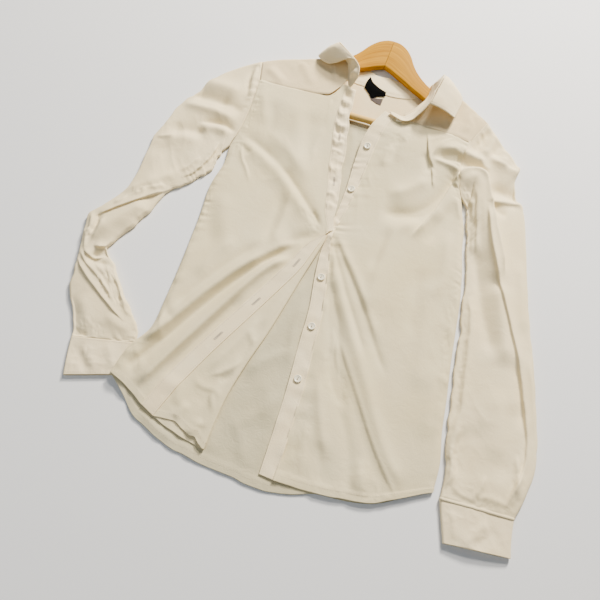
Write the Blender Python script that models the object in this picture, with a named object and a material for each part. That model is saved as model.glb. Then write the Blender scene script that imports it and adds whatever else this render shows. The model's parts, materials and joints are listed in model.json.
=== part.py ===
"""A crumpled long-sleeved blouse that lies face up with its wooden hanger still inside.

Tables are in millimetres, seen from above: +X to the wearer's left, +Y towards the collar and +Z up
from the surface that the blouse lies on. Right and left are always the wearer's.
The blouse is modelled around the middle of its body and moved at the end, so that the origin is the
middle of the underside of its bounding box.
"""
import math

import bmesh
import bpy
import numpy as np

MM = 0.001

for old in list(bpy.data.objects):
    bpy.data.objects.remove(old, do_unlink=True)

# Driving sizes

CLOTH = 1.2              # wall of one layer of cloth
BAND = 1.6               # wall of the stitched bands: plackets, cuffs and collar stand
SEAM = 0.4               # space between two pieces that are sewn together
FOLD_RADIUS = 7.3        # middle of the cloth where it turns over the hanger at a shoulder
HANGER_LOW = 3.5
HANGER_THICK = 10.4
HANGER_MIDDLE_X = -10.5
BAR_RADIUS = 5.2
BAR_Y = 330.0
BUTTON_RADIUS = 5.6
BUTTON_THICK = 2.4
BUTTON_HOLE = 0.9
PIN_SIDES = 6
FLOOR_LAYER = CLOTH / 2  # height of the middle of the cloth that lies on the floor
EDGE_ROUND = 11.0        # radius of the upper layer beside a side seam
BACK_SEAM_DIP = 11.2     # how far the back's upper seam hangs below the straight line of its ends
BUTTON_LIFT = 0.3        # space between a button and the placket
STAND_BUTTON_LIFT = 0.6
BUTTON_TURN = 0.15       # how far each button is turned about its middle, to and fro
STAND_BUTTON_TURN = 0.4
HOLE_TO_MIDDLE = 1.5
SLEEVE_GAP = 0.6         # space between a sleeve and the body along the armhole

# Mesh counts

RIGHT_ROWS = 29
LEFT_ROWS = 26
TURN_COLUMNS = 4
STRIP_COLUMNS = 5
PLACKET_COLUMNS = (0, 0.12, 0.5, 0.88, 1.0)
RIGHT_SLEEVE_ROWS = 28
LEFT_SLEEVE_ROWS = 26
CUFF_ROWS = 5
ROUND_SEGMENTS = 12      # sides of a button and of the hanger's bar
HANGER_SECTIONS = 22


def table(names, *rows):
    """A short table, one row for each section, kept as named columns."""
    return {name: np.array([row[i] for row in rows], float) for i, name in enumerate(names.split())}


def along(values, place):
    """Smooth curve through evenly numbered values, read at places from 0 (first) to 1 (last)."""
    values = np.asarray(values, float)
    last = len(values) - 1
    step = np.clip(np.asarray(place, float), 0, 1) * last
    low = np.minimum(step.astype(int), last - 1)
    f = step - low
    before = values[np.maximum(low - 1, 0)]
    start = values[low]
    end = values[low + 1]
    after = values[np.minimum(low + 2, last)]
    bend = 2 * before - 5 * start + 4 * end - after
    return start + 0.5 * f * (end - before + f * (bend + f * (3 * (start - end) + after - before)))


def smooth(low, high, value):
    """0 below low, 1 above high, with a soft step between."""
    part = np.clip((value - low) / (high - low), 0, 1)
    return part * part * (3 - 2 * part)


def spread(count, crowd_start=False, crowd_end=False):
    """Places from 0 to 1, closer together at an end that turns sharply."""
    places = list(np.linspace(0, 1, count))
    first = places[1]
    if crowd_start:
        places[1:1] = [first * 0.06, first * 0.22, first * 0.52]
    if crowd_end:
        places[-1:-1] = [1 - first * 0.52, 1 - first * 0.22, 1 - first * 0.06]
    return np.array(places)


# Outline of the body: both side edges from the yoke seam down to the hem, on the wearer's right and
# left, and how far the right corner of the hem is lifted by the cuff that lies under it.

SIDES = table(
    "right_x right_y left_x left_y lift",
    (-194, 338, 162, 338, 0),
    (-191, 312, 159, 312, 0),
    (-190, 285, 159, 287, 0),
    (-190, 258, 165, 262, 0),
    (-192, 233, 175, 240, 0),
    (-195, 211, 184, 215, 0),
    (-192, 178, 193, 188, 0),
    (-196, 146, 199, 155, 0),
    (-196, 122, 207, 125, 0),
    (-193, 100, 212, 100, 0),
    (-190, 75, 217, 72, 0),
    (-187, 35, 222, 30, 0),
    (-184, -12, 228, -20, 0),
    (-182, -62, 235, -68, 0),
    (-182, -112, 241, -115, 1.5),
    (-198, -150, 249, -155, 5.8),
    (-205, -192, 250, -193, 6.0),
)
ROWS = len(SIDES["lift"]) - 1
RIGHT_ARMPIT = 5 / ROWS
LEFT_ARMPIT = 4 / ROWS

# Hem curves, from the wearer's right to left.
BACK_HEM = table(
    "x y", (-205, -192), (-180, -210), (-148, -236), (-100, -253), (-50, -262), (0, -264), (50, -264),
    (80, -258), (110, -247), (150, -241), (185, -232), (222, -210), (250, -193))
RIGHT_FRONT_HEM = table("x y", (-205, -192), (-180, -200), (-150, -216), (-125, -226), (-98, -235), (-47, -243))
LEFT_FRONT_HEM = table("x y", (56, -249), (100, -246), (145, -241), (180, -233), (207, -219), (250, -193))

HEM_REACH = 5            # power of the place down the body: how near the hem its curve begins
TOP_REACH = 20           # the same for the curved seam under the yoke

# Seam between the right front and the yoke; it climbs to the collar at its inner end.
RIGHT_TOP = table(
    "x y", (-194, 338), (-163, 340), (-132, 342.5), (-102, 346), (-76, 352), (-63, 376))

# Large soft folds and creases: two ends seen from above, height (less than 0 for a trough) and half
# width. The last column is the piece that carries the fold.
FOLDS = (
    # x0, y0, x1, y1, height, width, piece
    (-150, 228, -20, 132, -3.0, 11, "right_front"),
    (-165, 205, -30, 118, 2.4, 13, "right_front"),
    (-30, 88, -120, -30, -2.6, 12, "right_front"),
    (-100, 10, -180, -170, -2.8, 13, "right_front"),
    (-60, 70, -150, -100, 2.0, 14, "right_front"),
    (-120, 330, -60, 210, 2.2, 16, "right_front"),
    (-180, 300, -110, 240, 1.6, 20, "right_front"),
    (22, 100, 110, -60, -2.8, 9, "left_front"),
    (34, 100, 130, -60, 2.6, 10, "left_front"),
    (60, -30, 205, -215, 3.0, 13, "left_front"),
    (80, -60, 170, -180, -2.6, 12, "left_front"),
    (95, 330, 125, 255, -2.2, 8, "left_front"),
    (110, 318, 112, 285, 2.6, 10, "left_front"),
    (112, 300, 165, 303, -3.4, 9, "left_front"),
    (30, 135, 75, 230, -2.0, 12, "left_front"),
    (62, 200, 150, 215, -2.2, 16, "left_front"),
    (160, 280, 90, 150, 2.4, 13, "left_front"),
    (-205, 252, -265, 245, -2.6, 9, "right_sleeve"),
    (-205, 262, -290, 262, 2.2, 10, "right_sleeve"),
    (-210, 232, -300, 195, 2.0, 12, "right_sleeve"),
    (-205, 300, -270, 295, -2.0, 16, "right_sleeve"),
    (-250, 105, -335, 38, 4.6, 15, "right_sleeve"),
    (-235, 92, -322, 30, -2.4, 12, "right_sleeve"),
    (-285, -5, -315, 20, 2.0, 12, "right_sleeve"),
    (-318, -50, -205, -114, 2.6, 12, "right_sleeve"),
    (-322, -66, -222, -122, -1.8, 8, "right_sleeve"),
    (180, 300, 250, 296, -3.6, 13, "left_sleeve"),
    (170, 288, 206, 262, 3.6, 9, "left_sleeve"),
    (206, 262, 240, 160, 3.2, 9, "left_sleeve"),
    (240, 160, 330, -10, 2.4, 11, "left_sleeve"),
    (225, 180, 300, 40, -2.2, 10, "left_sleeve"),
    (326, 10, 352, -80, -2.6, 8, "left_sleeve"),
    (252, -30, 262, -170, 2.0, 9, "left_sleeve"),
    (310, -90, 305, -170, -1.6, 14, "left_sleeve"),
)


def fold_height(piece, x, y):
    """Height that the large folds of a piece add at places seen from above."""
    total = np.zeros_like(x)
    for x0, y0, x1, y1, height, width, owner in FOLDS:
        if owner != piece:
            continue
        length = math.hypot(x1 - x0, y1 - y0)
        run = ((x - x0) * (x1 - x0) + (y - y0) * (y1 - y0)) / length
        off = ((x - x0) * (y1 - y0) - (y - y0) * (x1 - x0)) / length
        taper = smooth(-width, 0.3 * length, run) * smooth(-width, 0.3 * length, length - run)
        total = total + height * taper * np.exp(-(off / width) ** 2)
    return total


# Meshes

def material(name, colour, roughness):
    """A plain finish for one piece."""
    made = bpy.data.materials.new(name)
    made.use_nodes = True
    shader = made.node_tree.nodes["Principled BSDF"]
    shader.inputs["Base Color"].default_value = (*colour, 1)
    shader.inputs["Roughness"].default_value = roughness
    shader.inputs["Metallic"].default_value = 0.0
    return made


CREAM = (0.66, 0.60, 0.50)
PEARL = (0.84, 0.82, 0.76)
WOOD = (0.67, 0.42, 0.17)
BLACK = (0.008, 0.008, 0.009)
GREY = (0.20, 0.18, 0.17)


def solid(name, vertices, faces, colour, roughness=0.8):
    """One closed piece from points in millimetres, with its faces turned outwards."""
    mesh = bpy.data.meshes.new(name)
    mesh.from_pydata([tuple(np.asarray(v) * MM) for v in vertices], [], faces)
    mesh.validate()
    shape = bmesh.new()
    shape.from_mesh(mesh)
    bmesh.ops.triangulate(shape, faces=shape.faces)
    bmesh.ops.recalc_face_normals(shape, faces=shape.faces)
    shape.to_mesh(mesh)
    shape.free()
    mesh.materials.append(material(name, colour, roughness))
    mesh.shade_smooth()
    mesh.set_sharp_from_angle(angle=math.radians(40))
    made = bpy.data.objects.new(name, mesh)
    bpy.context.collection.objects.link(made)
    return made


def grid_normals(middle, closed):
    """Unit normals of a grid of points; a closed grid joins its last column to its first."""
    if closed:
        across = np.roll(middle, -1, axis=1) - np.roll(middle, 1, axis=1)
    else:
        across = np.gradient(middle, axis=1)
    down = np.gradient(middle, axis=0)
    normal = np.cross(across, down)
    return normal / np.maximum(np.linalg.norm(normal, axis=2, keepdims=True), 1e-9)


def wall(name, middle, thickness, colour=CREAM, closed=False):
    """A cloth wall: the grid of its middle, moved out to both sides by half the thickness."""
    normal = grid_normals(middle, closed)
    rows, columns = middle.shape[:2]
    one_side = rows * columns
    vertices = np.concatenate([(middle + normal * thickness / 2).reshape(-1, 3),
                               (middle - normal * thickness / 2).reshape(-1, 3)])
    faces = []
    spans = columns if closed else columns - 1
    for i in range(rows - 1):
        for j in range(spans):
            a = i * columns + j
            b = i * columns + (j + 1) % columns
            faces.append((a, b, b + columns, a + columns))
            faces.append((a + one_side, a + columns + one_side, b + columns + one_side, b + one_side))
    for i in (0, rows - 1):
        for j in range(spans):
            a = i * columns + j
            b = i * columns + (j + 1) % columns
            faces.append((a, b, b + one_side, a + one_side))
    if not closed:
        for j in (0, columns - 1):
            for i in range(rows - 1):
                a = i * columns + j
                faces.append((a, a + columns, a + columns + one_side, a + one_side))
    return solid(name, vertices, faces, colour)


def side_edge(side, place):
    """Points of one side edge of the body at places down its length."""
    return along(SIDES[side + "_x"], place), along(SIDES[side + "_y"], place)


def corner_lift(x, place):
    """Lift over the right cuff, fading away from the side edge."""
    edge = along(SIDES["right_x"], place)
    lift = np.maximum(along(SIDES["lift"], place), 0)
    return lift * (1 - smooth(6, 40, x - edge))


def edge_bow(curve, across, share):
    """Offset that bends a straight row to a curved edge, as far as share (0 to 1) says."""
    x = along(curve["x"], across)
    y = along(curve["y"], across)
    straight_x = curve["x"][0] + (curve["x"][-1] - curve["x"][0]) * across
    straight_y = curve["y"][0] + (curve["y"][-1] - curve["y"][0]) * across
    return (x - straight_x) * share, (y - straight_y) * share


# Back panel: flat on the floor, but for its right corner, which lies on the cuff.

def build_back():
    down = np.linspace(0, 1, 20)[:, None]
    across = spread(14)[None, :]
    right_x, right_y = side_edge("right", down)
    left_x, left_y = side_edge("left", down)
    sag_x, sag_y = edge_bow(BACK_HEM, across, down ** HEM_REACH)
    x = right_x + (left_x - right_x) * across + sag_x
    seam_dip = -BACK_SEAM_DIP * np.sin(math.pi * across) * (1 - smooth(0, 0.12, down))
    y = right_y + (left_y - right_y) * across + sag_y + seam_dip
    z = FLOOR_LAYER + corner_lift(x, down)
    wall("back", np.stack([x, y, z], axis=2), CLOTH)


# Right front: the lower layer runs from the side to a fold, turns over and shows its wrong side.
# Heights are at a quarter, half and three quarters of the row, and at the fold.

RIGHT_FRONT = table(
    "side_z near_z half_z far_z fold_z fold_x fold_y radius turn strip strip_y",
    (15.2, 15.2, 15.3, 15.4, 15.4, -63, 376, 2.0, 0, 6, 0),
    (14.6, 15.0, 15.2, 15.2, 15.0, -60, 322, 2.0, 0, 6, 0),
    (11.6, 12.2, 12.8, 12.4, 11.6, -55, 288, 2.0, 0, 6, 0),
    (9.0, 9.8, 10.4, 10.2, 9.6, -48, 260, 2.0, 0, 6, 0),
    (7.0, 8.4, 9.2, 9.0, 8.4, -43, 235, 2.0, 0, 6, 0),
    (4.4, 7.4, 8.4, 8.6, 8.0, -37, 212, 2.0, 0, 6, 0),
    (2.0, 6.8, 7.8, 8.2, 8.0, -28, 180, 2.0, 0, 6, 0),
    (2.0, 6.8, 7.8, 8.2, 8.4, -20, 148, 2.0, 0, 6, 0),
    (2.0, 6.8, 7.8, 8.4, 9.0, -11, 122, 2.0, 12, 5, 0),
    (2.0, 6.8, 7.6, 7.8, 7.6, -6, 104, 2.0, 100, 3, 0),
    (2.0, 6.6, 7.0, 6.4, 4.6, -5, 78, 2.2, 172, 3, 0),
    (2.0, 6.4, 6.4, 5.2, 3.4, -9.5, 40, 2.2, 180, 6, 0),
    (2.0, 6.2, 5.8, 4.2, 2.9, -17.5, -10, 2.2, 180, 20, 0),
    (2.0, 6.0, 5.0, 3.7, 2.7, -26.5, -65, 2.2, 180, 36, 0),
    (2.0, 5.8, 4.2, 3.3, 2.6, -38.5, -120, 2.2, 180, 49, 0),
    (2.0, 5.4, 3.8, 3.1, 2.6, -46.5, -175, 2.2, 180, 63, 0),
    (2.0, 4.4, 3.4, 3.0, 2.6, -47.5, -243, 2.0, 180, 78, 17),
)


FLAP_WAVES = (0, 0, 0, 0, 3.5, -1.5, 3.0, 0.5, 0)
FLAP_REACH = 9           # power of the place down the body: how near the hem the waves begin


def right_front_point(down, across):
    """Lower layer of the right front, from its side (across 0) to the fold (across 1)."""
    t = RIGHT_FRONT
    side_x, side_y = side_edge("right", down)
    fold_x = along(t["fold_x"], down)
    fold_y = along(t["fold_y"], down)
    sag_x, sag_y = edge_bow(RIGHT_FRONT_HEM, across, down ** HEM_REACH)
    top_x, top_y = edge_bow(RIGHT_TOP, across, (1 - down) ** TOP_REACH)
    x = side_x + (fold_x - side_x) * across + sag_x + top_x
    y = side_y + (fold_y - side_y) * across + sag_y + top_y
    heights = [along(t[name], down) for name in ("near_z", "near_z", "half_z", "far_z", "fold_z")]
    plateau = weave_heights(heights, across)
    plateau = plateau + fold_height("right_front", x, y) * smooth(0, 0.12, across) * smooth(0, 0.2, 1 - across)
    side_z = along(t["side_z"], down)
    z = side_z + (plateau - side_z) * round_edge(x - side_x)
    return x, y, z + corner_lift(x, down)


def weave_heights(heights, across):
    """Smooth height across a row from five heights at quarters of it."""
    *layers, across = np.broadcast_arrays(*heights, across)
    stack = np.stack(layers)
    step = np.clip(across, 0, 1) * 4
    low = np.minimum(step.astype(int), 3)
    f = step - low

    def pick(index):
        return np.take_along_axis(stack, np.clip(index, 0, 4)[None], axis=0)[0]

    before, start, end, after = pick(low - 1), pick(low), pick(low + 1), pick(low + 2)
    bend = 2 * before - 5 * start + 4 * end - after
    return start + 0.5 * f * (end - before + f * (bend + f * (3 * (start - end) + after - before)))


def round_edge(distance):
    """Rise of the upper layer beside a side seam: a quarter circle that levels out."""
    part = np.clip(distance / EDGE_ROUND, 0, 1)
    return np.sqrt(np.maximum(1 - (1 - part) ** 2, 0))


def build_right_front():
    t = RIGHT_FRONT
    down = np.linspace(0, 1, RIGHT_ROWS)[:, None]
    lower = spread(12, crowd_start=True)[None, :]
    x, y, z = right_front_point(down, lower)
    turn = np.radians(along(t["turn"], down))
    radius = along(t["radius"], down)
    strip = along(t["strip"], down)
    strip_y = along(t["strip_y"], down)
    start = np.concatenate([x[:, -1:], y[:, -1:], z[:, -1:]], axis=1)
    arc = radius * turn
    sharp = smooth(0, 3, arc)
    bent = []
    for number in range(1, TURN_COLUMNS + STRIP_COLUMNS + 1):
        even = (arc + strip) * number / (TURN_COLUMNS + STRIP_COLUMNS)
        tight = arc * min(number / TURN_COLUMNS, 1) + strip * max(number - TURN_COLUMNS, 0) / STRIP_COLUMNS
        run = even + (tight - even) * sharp
        angle = np.minimum(run / radius, turn)
        beyond = np.maximum(run - arc, 0)
        bent.append((radius * np.sin(angle) + beyond * np.cos(turn),
                     strip_y * beyond / strip,
                     radius * (1 - np.cos(angle)) + beyond * np.sin(turn)))
    wrinkle = flap_hem(down)
    columns = [np.stack([x, y, z], axis=2)]
    for number, (dx, dy, dz) in enumerate(bent):
        point = start + np.concatenate([dx, dy + wrinkle[number], dz], axis=1)
        columns.append(point[:, None, :])
    middle = np.concatenate(columns, axis=1)
    wall("right_front", middle, CLOTH)
    return middle[:, -1], turn


def flap_hem(down):
    """Small waves along the hem of the turned-back part, in the order of its columns."""
    share = np.clip(down, 0, 1) ** FLAP_REACH
    return [share * wave for wave in FLAP_WAVES]


# Right placket: sewn along the end of the turned-back part; above the fastened button it lies the
# right way up. Its width in millimetres from top to hem.

RIGHT_PLACKET_WIDTH = (18, 23, 25, 25, 24, 23, 20, 14, 11, 12, 18, 23, 24, 24.5, 24.5, 24, 22)
RIGHT_PLACKET_DROP = (0, 0, 0.5, 1.0, 1.5, 2.0, 2.0, 1.0, 0, 0, 0, 0.5, 0.6, 0.6, 0.5, 0.5, 0.5)
RIGHT_PLACKET_RISE = 9   # how much higher its outer corner is at the hem than its seam


def build_right_placket(seam, turn):
    down = np.linspace(0, 1, RIGHT_ROWS)
    width = along(RIGHT_PLACKET_WIDTH, down)
    drop = along(RIGHT_PLACKET_DROP, down)
    direction = np.stack([np.cos(turn[:, 0]), np.zeros(RIGHT_ROWS), np.sin(turn[:, 0])], axis=1)
    columns = []
    for share in PLACKET_COLUMNS:
        point = seam + direction * (SEAM + (width - SEAM) * share)[:, None]
        point[:, 2] -= drop * share
        point[:, 1] += RIGHT_PLACKET_RISE * share * down ** FLAP_REACH
        columns.append(point)
    wall("right_placket", np.stack(columns, axis=1), BAND)


# Left front: from the placket seam to the side, with heights as on the right.

LEFT_FRONT = table(
    "seam_x seam_y seam_z near_z half_z far_z side_z",
    (36, 347, 15.2, 15.3, 15.4, 15.3, 15.2),
    (28, 318, 15.0, 15.2, 15.2, 15.0, 14.6),
    (24, 288, 11.0, 12.4, 13.0, 12.6, 12.2),
    (23, 260, 7.6, 9.6, 10.6, 10.2, 9.4),
    (22, 235, 5.8, 8.2, 9.4, 9.0, 5.0),
    (21, 212, 5.0, 7.4, 8.8, 8.2, 2.0),
    (19, 180, 4.4, 6.8, 8.4, 7.8, 2.0),
    (15, 148, 4.0, 6.8, 8.0, 7.4, 2.0),
    (11.5, 122, 3.8, 6.8, 7.8, 7.2, 2.0),
    (12, 104, 3.8, 6.6, 7.6, 7.0, 2.0),
    (19, 78, 3.6, 6.4, 7.4, 6.8, 2.0),
    (28, 40, 3.4, 6.0, 7.0, 6.6, 2.0),
    (38, -10, 3.2, 5.6, 6.6, 6.4, 2.0),
    (44, -65, 3.2, 5.2, 6.4, 6.2, 2.0),
    (50, -120, 3.2, 5.0, 6.0, 6.0, 2.0),
    (53, -175, 3.2, 4.6, 5.4, 5.6, 2.0),
    (56, -249, 3.2, 3.8, 4.2, 4.2, 2.0),
)


def left_front_point(down, across):
    """Left front, from the placket seam (across 0) to its side (across 1)."""
    t = LEFT_FRONT
    side_x, side_y = side_edge("left", down)
    seam_x = along(t["seam_x"], down)
    seam_y = along(t["seam_y"], down)
    sag_x, sag_y = edge_bow(LEFT_FRONT_HEM, across, down ** HEM_REACH)
    x = seam_x + (side_x - seam_x) * across + sag_x
    y = seam_y + (side_y - seam_y) * across + sag_y
    heights = [along(t[name], down) for name in ("seam_z", "near_z", "half_z", "far_z", "far_z")]
    plateau = weave_heights(heights, across)
    plateau = plateau + fold_height("left_front", x, y) * smooth(0, 0.12, across) * smooth(0, 0.12, 1 - across)
    side_z = along(t["side_z"], down)
    z = side_z + (plateau - side_z) * round_edge(side_x - x)
    return x, y, z


def build_left_front():
    down = np.linspace(0, 1, LEFT_ROWS)[:, None]
    across = spread(12, crowd_end=True)[None, :]
    x, y, z = left_front_point(down, across)
    wall("left_front", np.stack([x, y, z], axis=2), CLOTH)


# Left placket: its free edge lies on the back, and the buttons stand on it.

LEFT_PLACKET = table(
    "edge_x edge_y edge_z",
    (18, 352, 15.2),
    (5, 318, 15.0),
    (0, 288, 10.0),
    (0, 260, 5.6),
    (1, 235, 3.8),
    (3, 212, 3.2),
    (4, 180, 3.0),
    (3.5, 148, 2.9),
    (2, 122, 2.9),
    (3, 104, 2.9),
    (3, 78, 2.9),
    (8, 40, 2.8),
    (17, -10, 2.8),
    (21.5, -65, 2.8),
    (27, -120, 2.8),
    (30.5, -175, 2.8),
    (34, -248, 2.8),
)


def left_placket_point(down, across):
    """Left placket, from its free edge (across 0) to the seam beside the left front (across 1)."""
    edge = [along(LEFT_PLACKET[name], down) for name in ("edge_x", "edge_y", "edge_z")]
    seam = [along(LEFT_FRONT[name], down) for name in ("seam_x", "seam_y", "seam_z")]
    x = edge[0] + (seam[0] - SEAM - edge[0]) * across
    y = edge[1] + (seam[1] - edge[1]) * across
    z = edge[2] + (seam[2] - edge[2]) * across
    return x, y, z


def build_left_placket():
    down = np.linspace(0, 1, LEFT_ROWS)[:, None]
    across = np.array(PLACKET_COLUMNS)[None, :]
    x, y, z = left_placket_point(down, across)
    wall("left_placket", np.stack([x, y, z], axis=2), BAND)


# Buttons: round, with a raised rim and two holes, on the placket or on the stand's outer face.

BUTTON_Y = (281, 200, 121, 43, -34, -112)


def button(name, centre, normal, turn):
    """A two-hole button that stands on the cloth at its centre and faces along its normal."""
    normal = np.asarray(normal, float) / np.linalg.norm(normal)
    side = np.cross(normal, (math.sin(turn), -math.cos(turn), 0.3))
    side = side / np.linalg.norm(side)
    other = np.cross(normal, side)
    profile = ((BUTTON_RADIUS * 0.82, 0.0), (BUTTON_RADIUS, 0.8), (BUTTON_RADIUS * 0.97, 2.0),
               (BUTTON_RADIUS * 0.84, BUTTON_THICK), (BUTTON_RADIUS * 0.66, BUTTON_THICK - 0.5))
    vertices = []
    sides = ROUND_SEGMENTS
    for radius, height in profile:
        for step in range(sides):
            angle = 2 * math.pi * step / sides
            vertices.append(centre + (side * math.cos(angle) + other * math.sin(angle)) * radius + normal * height)
    faces = [tuple(range(sides))[::-1], tuple(range(4 * sides, 5 * sides))]
    for level in range(len(profile) - 1):
        for step in range(sides):
            a = level * sides + step
            b = level * sides + (step + 1) % sides
            faces.append((a, b, b + sides, a + sides))
    disc = solid(name, vertices, faces, PEARL, 0.25)
    for end in (-1, 1):
        hole = centre + other * end * HOLE_TO_MIDDLE - normal
        cut_hole(disc, hole, normal, BUTTON_THICK + 2)


def cut_hole(target, start, normal, depth):
    """A round hole through a button, cut with a short six-sided pin that is then removed."""
    side = np.cross(normal, (0.3, 0.9, 0.1))
    side = side / np.linalg.norm(side)
    other = np.cross(normal, side)
    vertices = []
    for height in (0, depth):
        for step in range(PIN_SIDES):
            angle = 2 * math.pi * step / PIN_SIDES
            vertices.append(start + (side * math.cos(angle) + other * math.sin(angle)) * BUTTON_HOLE + normal * height)
    faces = [tuple(range(PIN_SIDES))[::-1], tuple(range(PIN_SIDES, 2 * PIN_SIDES))]
    for step in range(PIN_SIDES):
        after = (step + 1) % PIN_SIDES
        faces.append((step, after, after + PIN_SIDES, step + PIN_SIDES))
    pin = solid("pin", vertices, faces, PEARL)
    cut = target.modifiers.new("hole", "BOOLEAN")
    cut.object = pin
    cut.operation = "DIFFERENCE"
    evaluated = target.evaluated_get(bpy.context.evaluated_depsgraph_get())
    result = bpy.data.meshes.new_from_object(evaluated)
    target.modifiers.clear()
    target.data = result
    bpy.data.objects.remove(pin, do_unlink=True)


def build_buttons():
    for number, y in enumerate(BUTTON_Y):
        down = np.array([[row_of(LEFT_PLACKET["edge_y"], y)]])
        corner = [float(value[0, 0]) for value in left_placket_point(down, np.array([[0.5]]))]
        centre = np.array([corner[0], corner[1], corner[2] + BAND / 2 + BUTTON_LIFT])
        button(f"button_{number + 1}", centre, slope_normal(down), BUTTON_TURN * (-1) ** number)


def row_of(column, value):
    """Place down a table whose column falls from top to bottom, for one value of it."""
    places = np.linspace(0, 1, 801)
    return float(places[np.argmin(abs(along(column, places) - value))])


def slope_normal(down):
    """Upward normal of the left placket at one place."""
    step = 0.01
    middle = np.array([[0.5]])
    above = np.array([value[0, 0] for value in left_placket_point(down - step, middle)])
    below = np.array([value[0, 0] for value in left_placket_point(down + step, middle)])
    left = np.array([value[0, 0] for value in left_placket_point(down, middle - 0.4)])
    right = np.array([value[0, 0] for value in left_placket_point(down, middle + 0.4)])
    normal = np.cross(right - left, above - below)
    return normal / np.linalg.norm(normal)


# Shoulders: the yoke is drawn as a flat pattern. over is the distance from the shoulder line along
# the cloth, less than 0 on the back and more than 0 on the front, and is wrapped round the hanger.

SHOULDER_LINE = table(
    "x y", (-206, 383), (-180, 397), (-160, 405), (-143, 411), (-125, 419), (-105, 427), (-88, 436),
    (-76, 443), (-60, 449))
SHOULDER_LINE_LEFT = table(
    "x y", (55, 444), (70, 436), (82, 431), (95, 428), (113, 424), (131, 419), (142, 412), (160, 400), (181, 387.5))


def shoulder_y(x):
    """Where the shoulder's outermost line runs, on either side of the neck."""
    right = np.interp(x, SHOULDER_LINE["x"], SHOULDER_LINE["y"])
    left = np.interp(x, SHOULDER_LINE_LEFT["x"], SHOULDER_LINE_LEFT["y"])
    return np.where(x < 0, right, left)


def wrap(x, over):
    """Place of a pattern point after the yoke is folded over the shoulder."""
    r = FOLD_RADIUS
    centre_y = shoulder_y(x) - r
    quarter = math.pi * r / 2
    angle = np.clip(over, -quarter, quarter) / r
    flat = np.maximum(abs(over) - quarter, 0)
    return x, centre_y + r * np.cos(angle) - flat, FLOOR_LAYER + r + r * np.sin(angle)


# Columns of the yoke, from the neck's edge outwards. The layer is 1 where y is read on the upper
# layer, -1 on the layer on the floor and 0 where it is a share of the fold at the shoulder.
YOKE = table(
    "neck_x neck_y outer_x outer_y layer",
    (-60, 388, -64.3, 377.3, 1),
    (-59.5, 394, -77.5, 353.8, 1),
    (-60, 400, -102, 347.2, 1),
    (-61.5, 406, -132, 343.6, 1),
    (-63, 411, -163, 341.0, 1),
    (-64.5, 415, -194, 338.8, 1),
    (-67, 421, -199, 358, 1),
    (-71, 1.15, -204, 1.15, 0),
    (-74, 0.75, -206, 0.75, 0),
    (-76, 0.38, -207, 0.38, 0),
    (-77, 0, -207, 0, 0),
    (-76, -0.38, -207, -0.38, 0),
    (-74, -0.75, -206, -0.75, 0),
    (-71, -1.15, -204, -1.15, 0),
    (-64, 420, -199, 358, -1),
    (-58, 411.5, -194, 338.6, -1),
    (-51, 404.5, -155, 334.5, -1),
    (-42, 403.3, -115, 332.0, -1),
    (-30, 401.6, -72, 330.7, -1),
    (-14, 399.5, -30, 330.4, -1),
    (3, 397.0, 5, 330.4, -1),
    (22, 396.5, 45, 330.8, -1),
    (40, 400.5, 88, 332.4, -1),
    (50, 404.0, 128, 334.8, -1),
    (58, 408.0, 162, 338.6, -1),
    (66, 413.0, 169, 358, -1),
    (72, -1.15, 178, -1.15, 0),
    (75, -0.75, 180, -0.75, 0),
    (77, -0.38, 181, -0.38, 0),
    (78, 0, 181.5, 0, 0),
    (78.5, 0.38, 181, 0.38, 0),
    (79, 0.75, 180, 0.75, 0),
    (79.5, 1.15, 178, 1.15, 0),
    (79, 405, 169, 358, 1),
    (76, 393, 162, 338.8, 1),
    (70, 381, 133, 340.9, 1),
    (64, 370, 102, 343.1, 1),
    (57, 360, 76, 345.0, 1),
    (51, 353, 54, 347.0, 1),
)
YOKE_ROWS = 8


def pattern_over(x, y, layer):
    """Pattern distance from the shoulder line for one end of the yoke's columns."""
    quarter = math.pi * FOLD_RADIUS / 2
    flat = shoulder_y(x) - FOLD_RADIUS - y + quarter
    return np.where(layer == 0, y * quarter, layer * flat)


def build_yoke():
    t = YOKE
    share = np.linspace(0, 1, YOKE_ROWS)[:, None]
    neck = pattern_over(t["neck_x"], t["neck_y"], t["layer"])
    outer = pattern_over(t["outer_x"], t["outer_y"], t["layer"])
    x = t["neck_x"] + (t["outer_x"] - t["neck_x"]) * share
    over = neck + (outer - neck) * share
    wall("yoke", np.stack(wrap(x, over), axis=2), CLOTH)


# Collar: stations from the wearer's right front end round the back of the neck to the left one.
# seam is the stand's lower edge, top its upper edge, and edge the free edge of the leaf.

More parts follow.
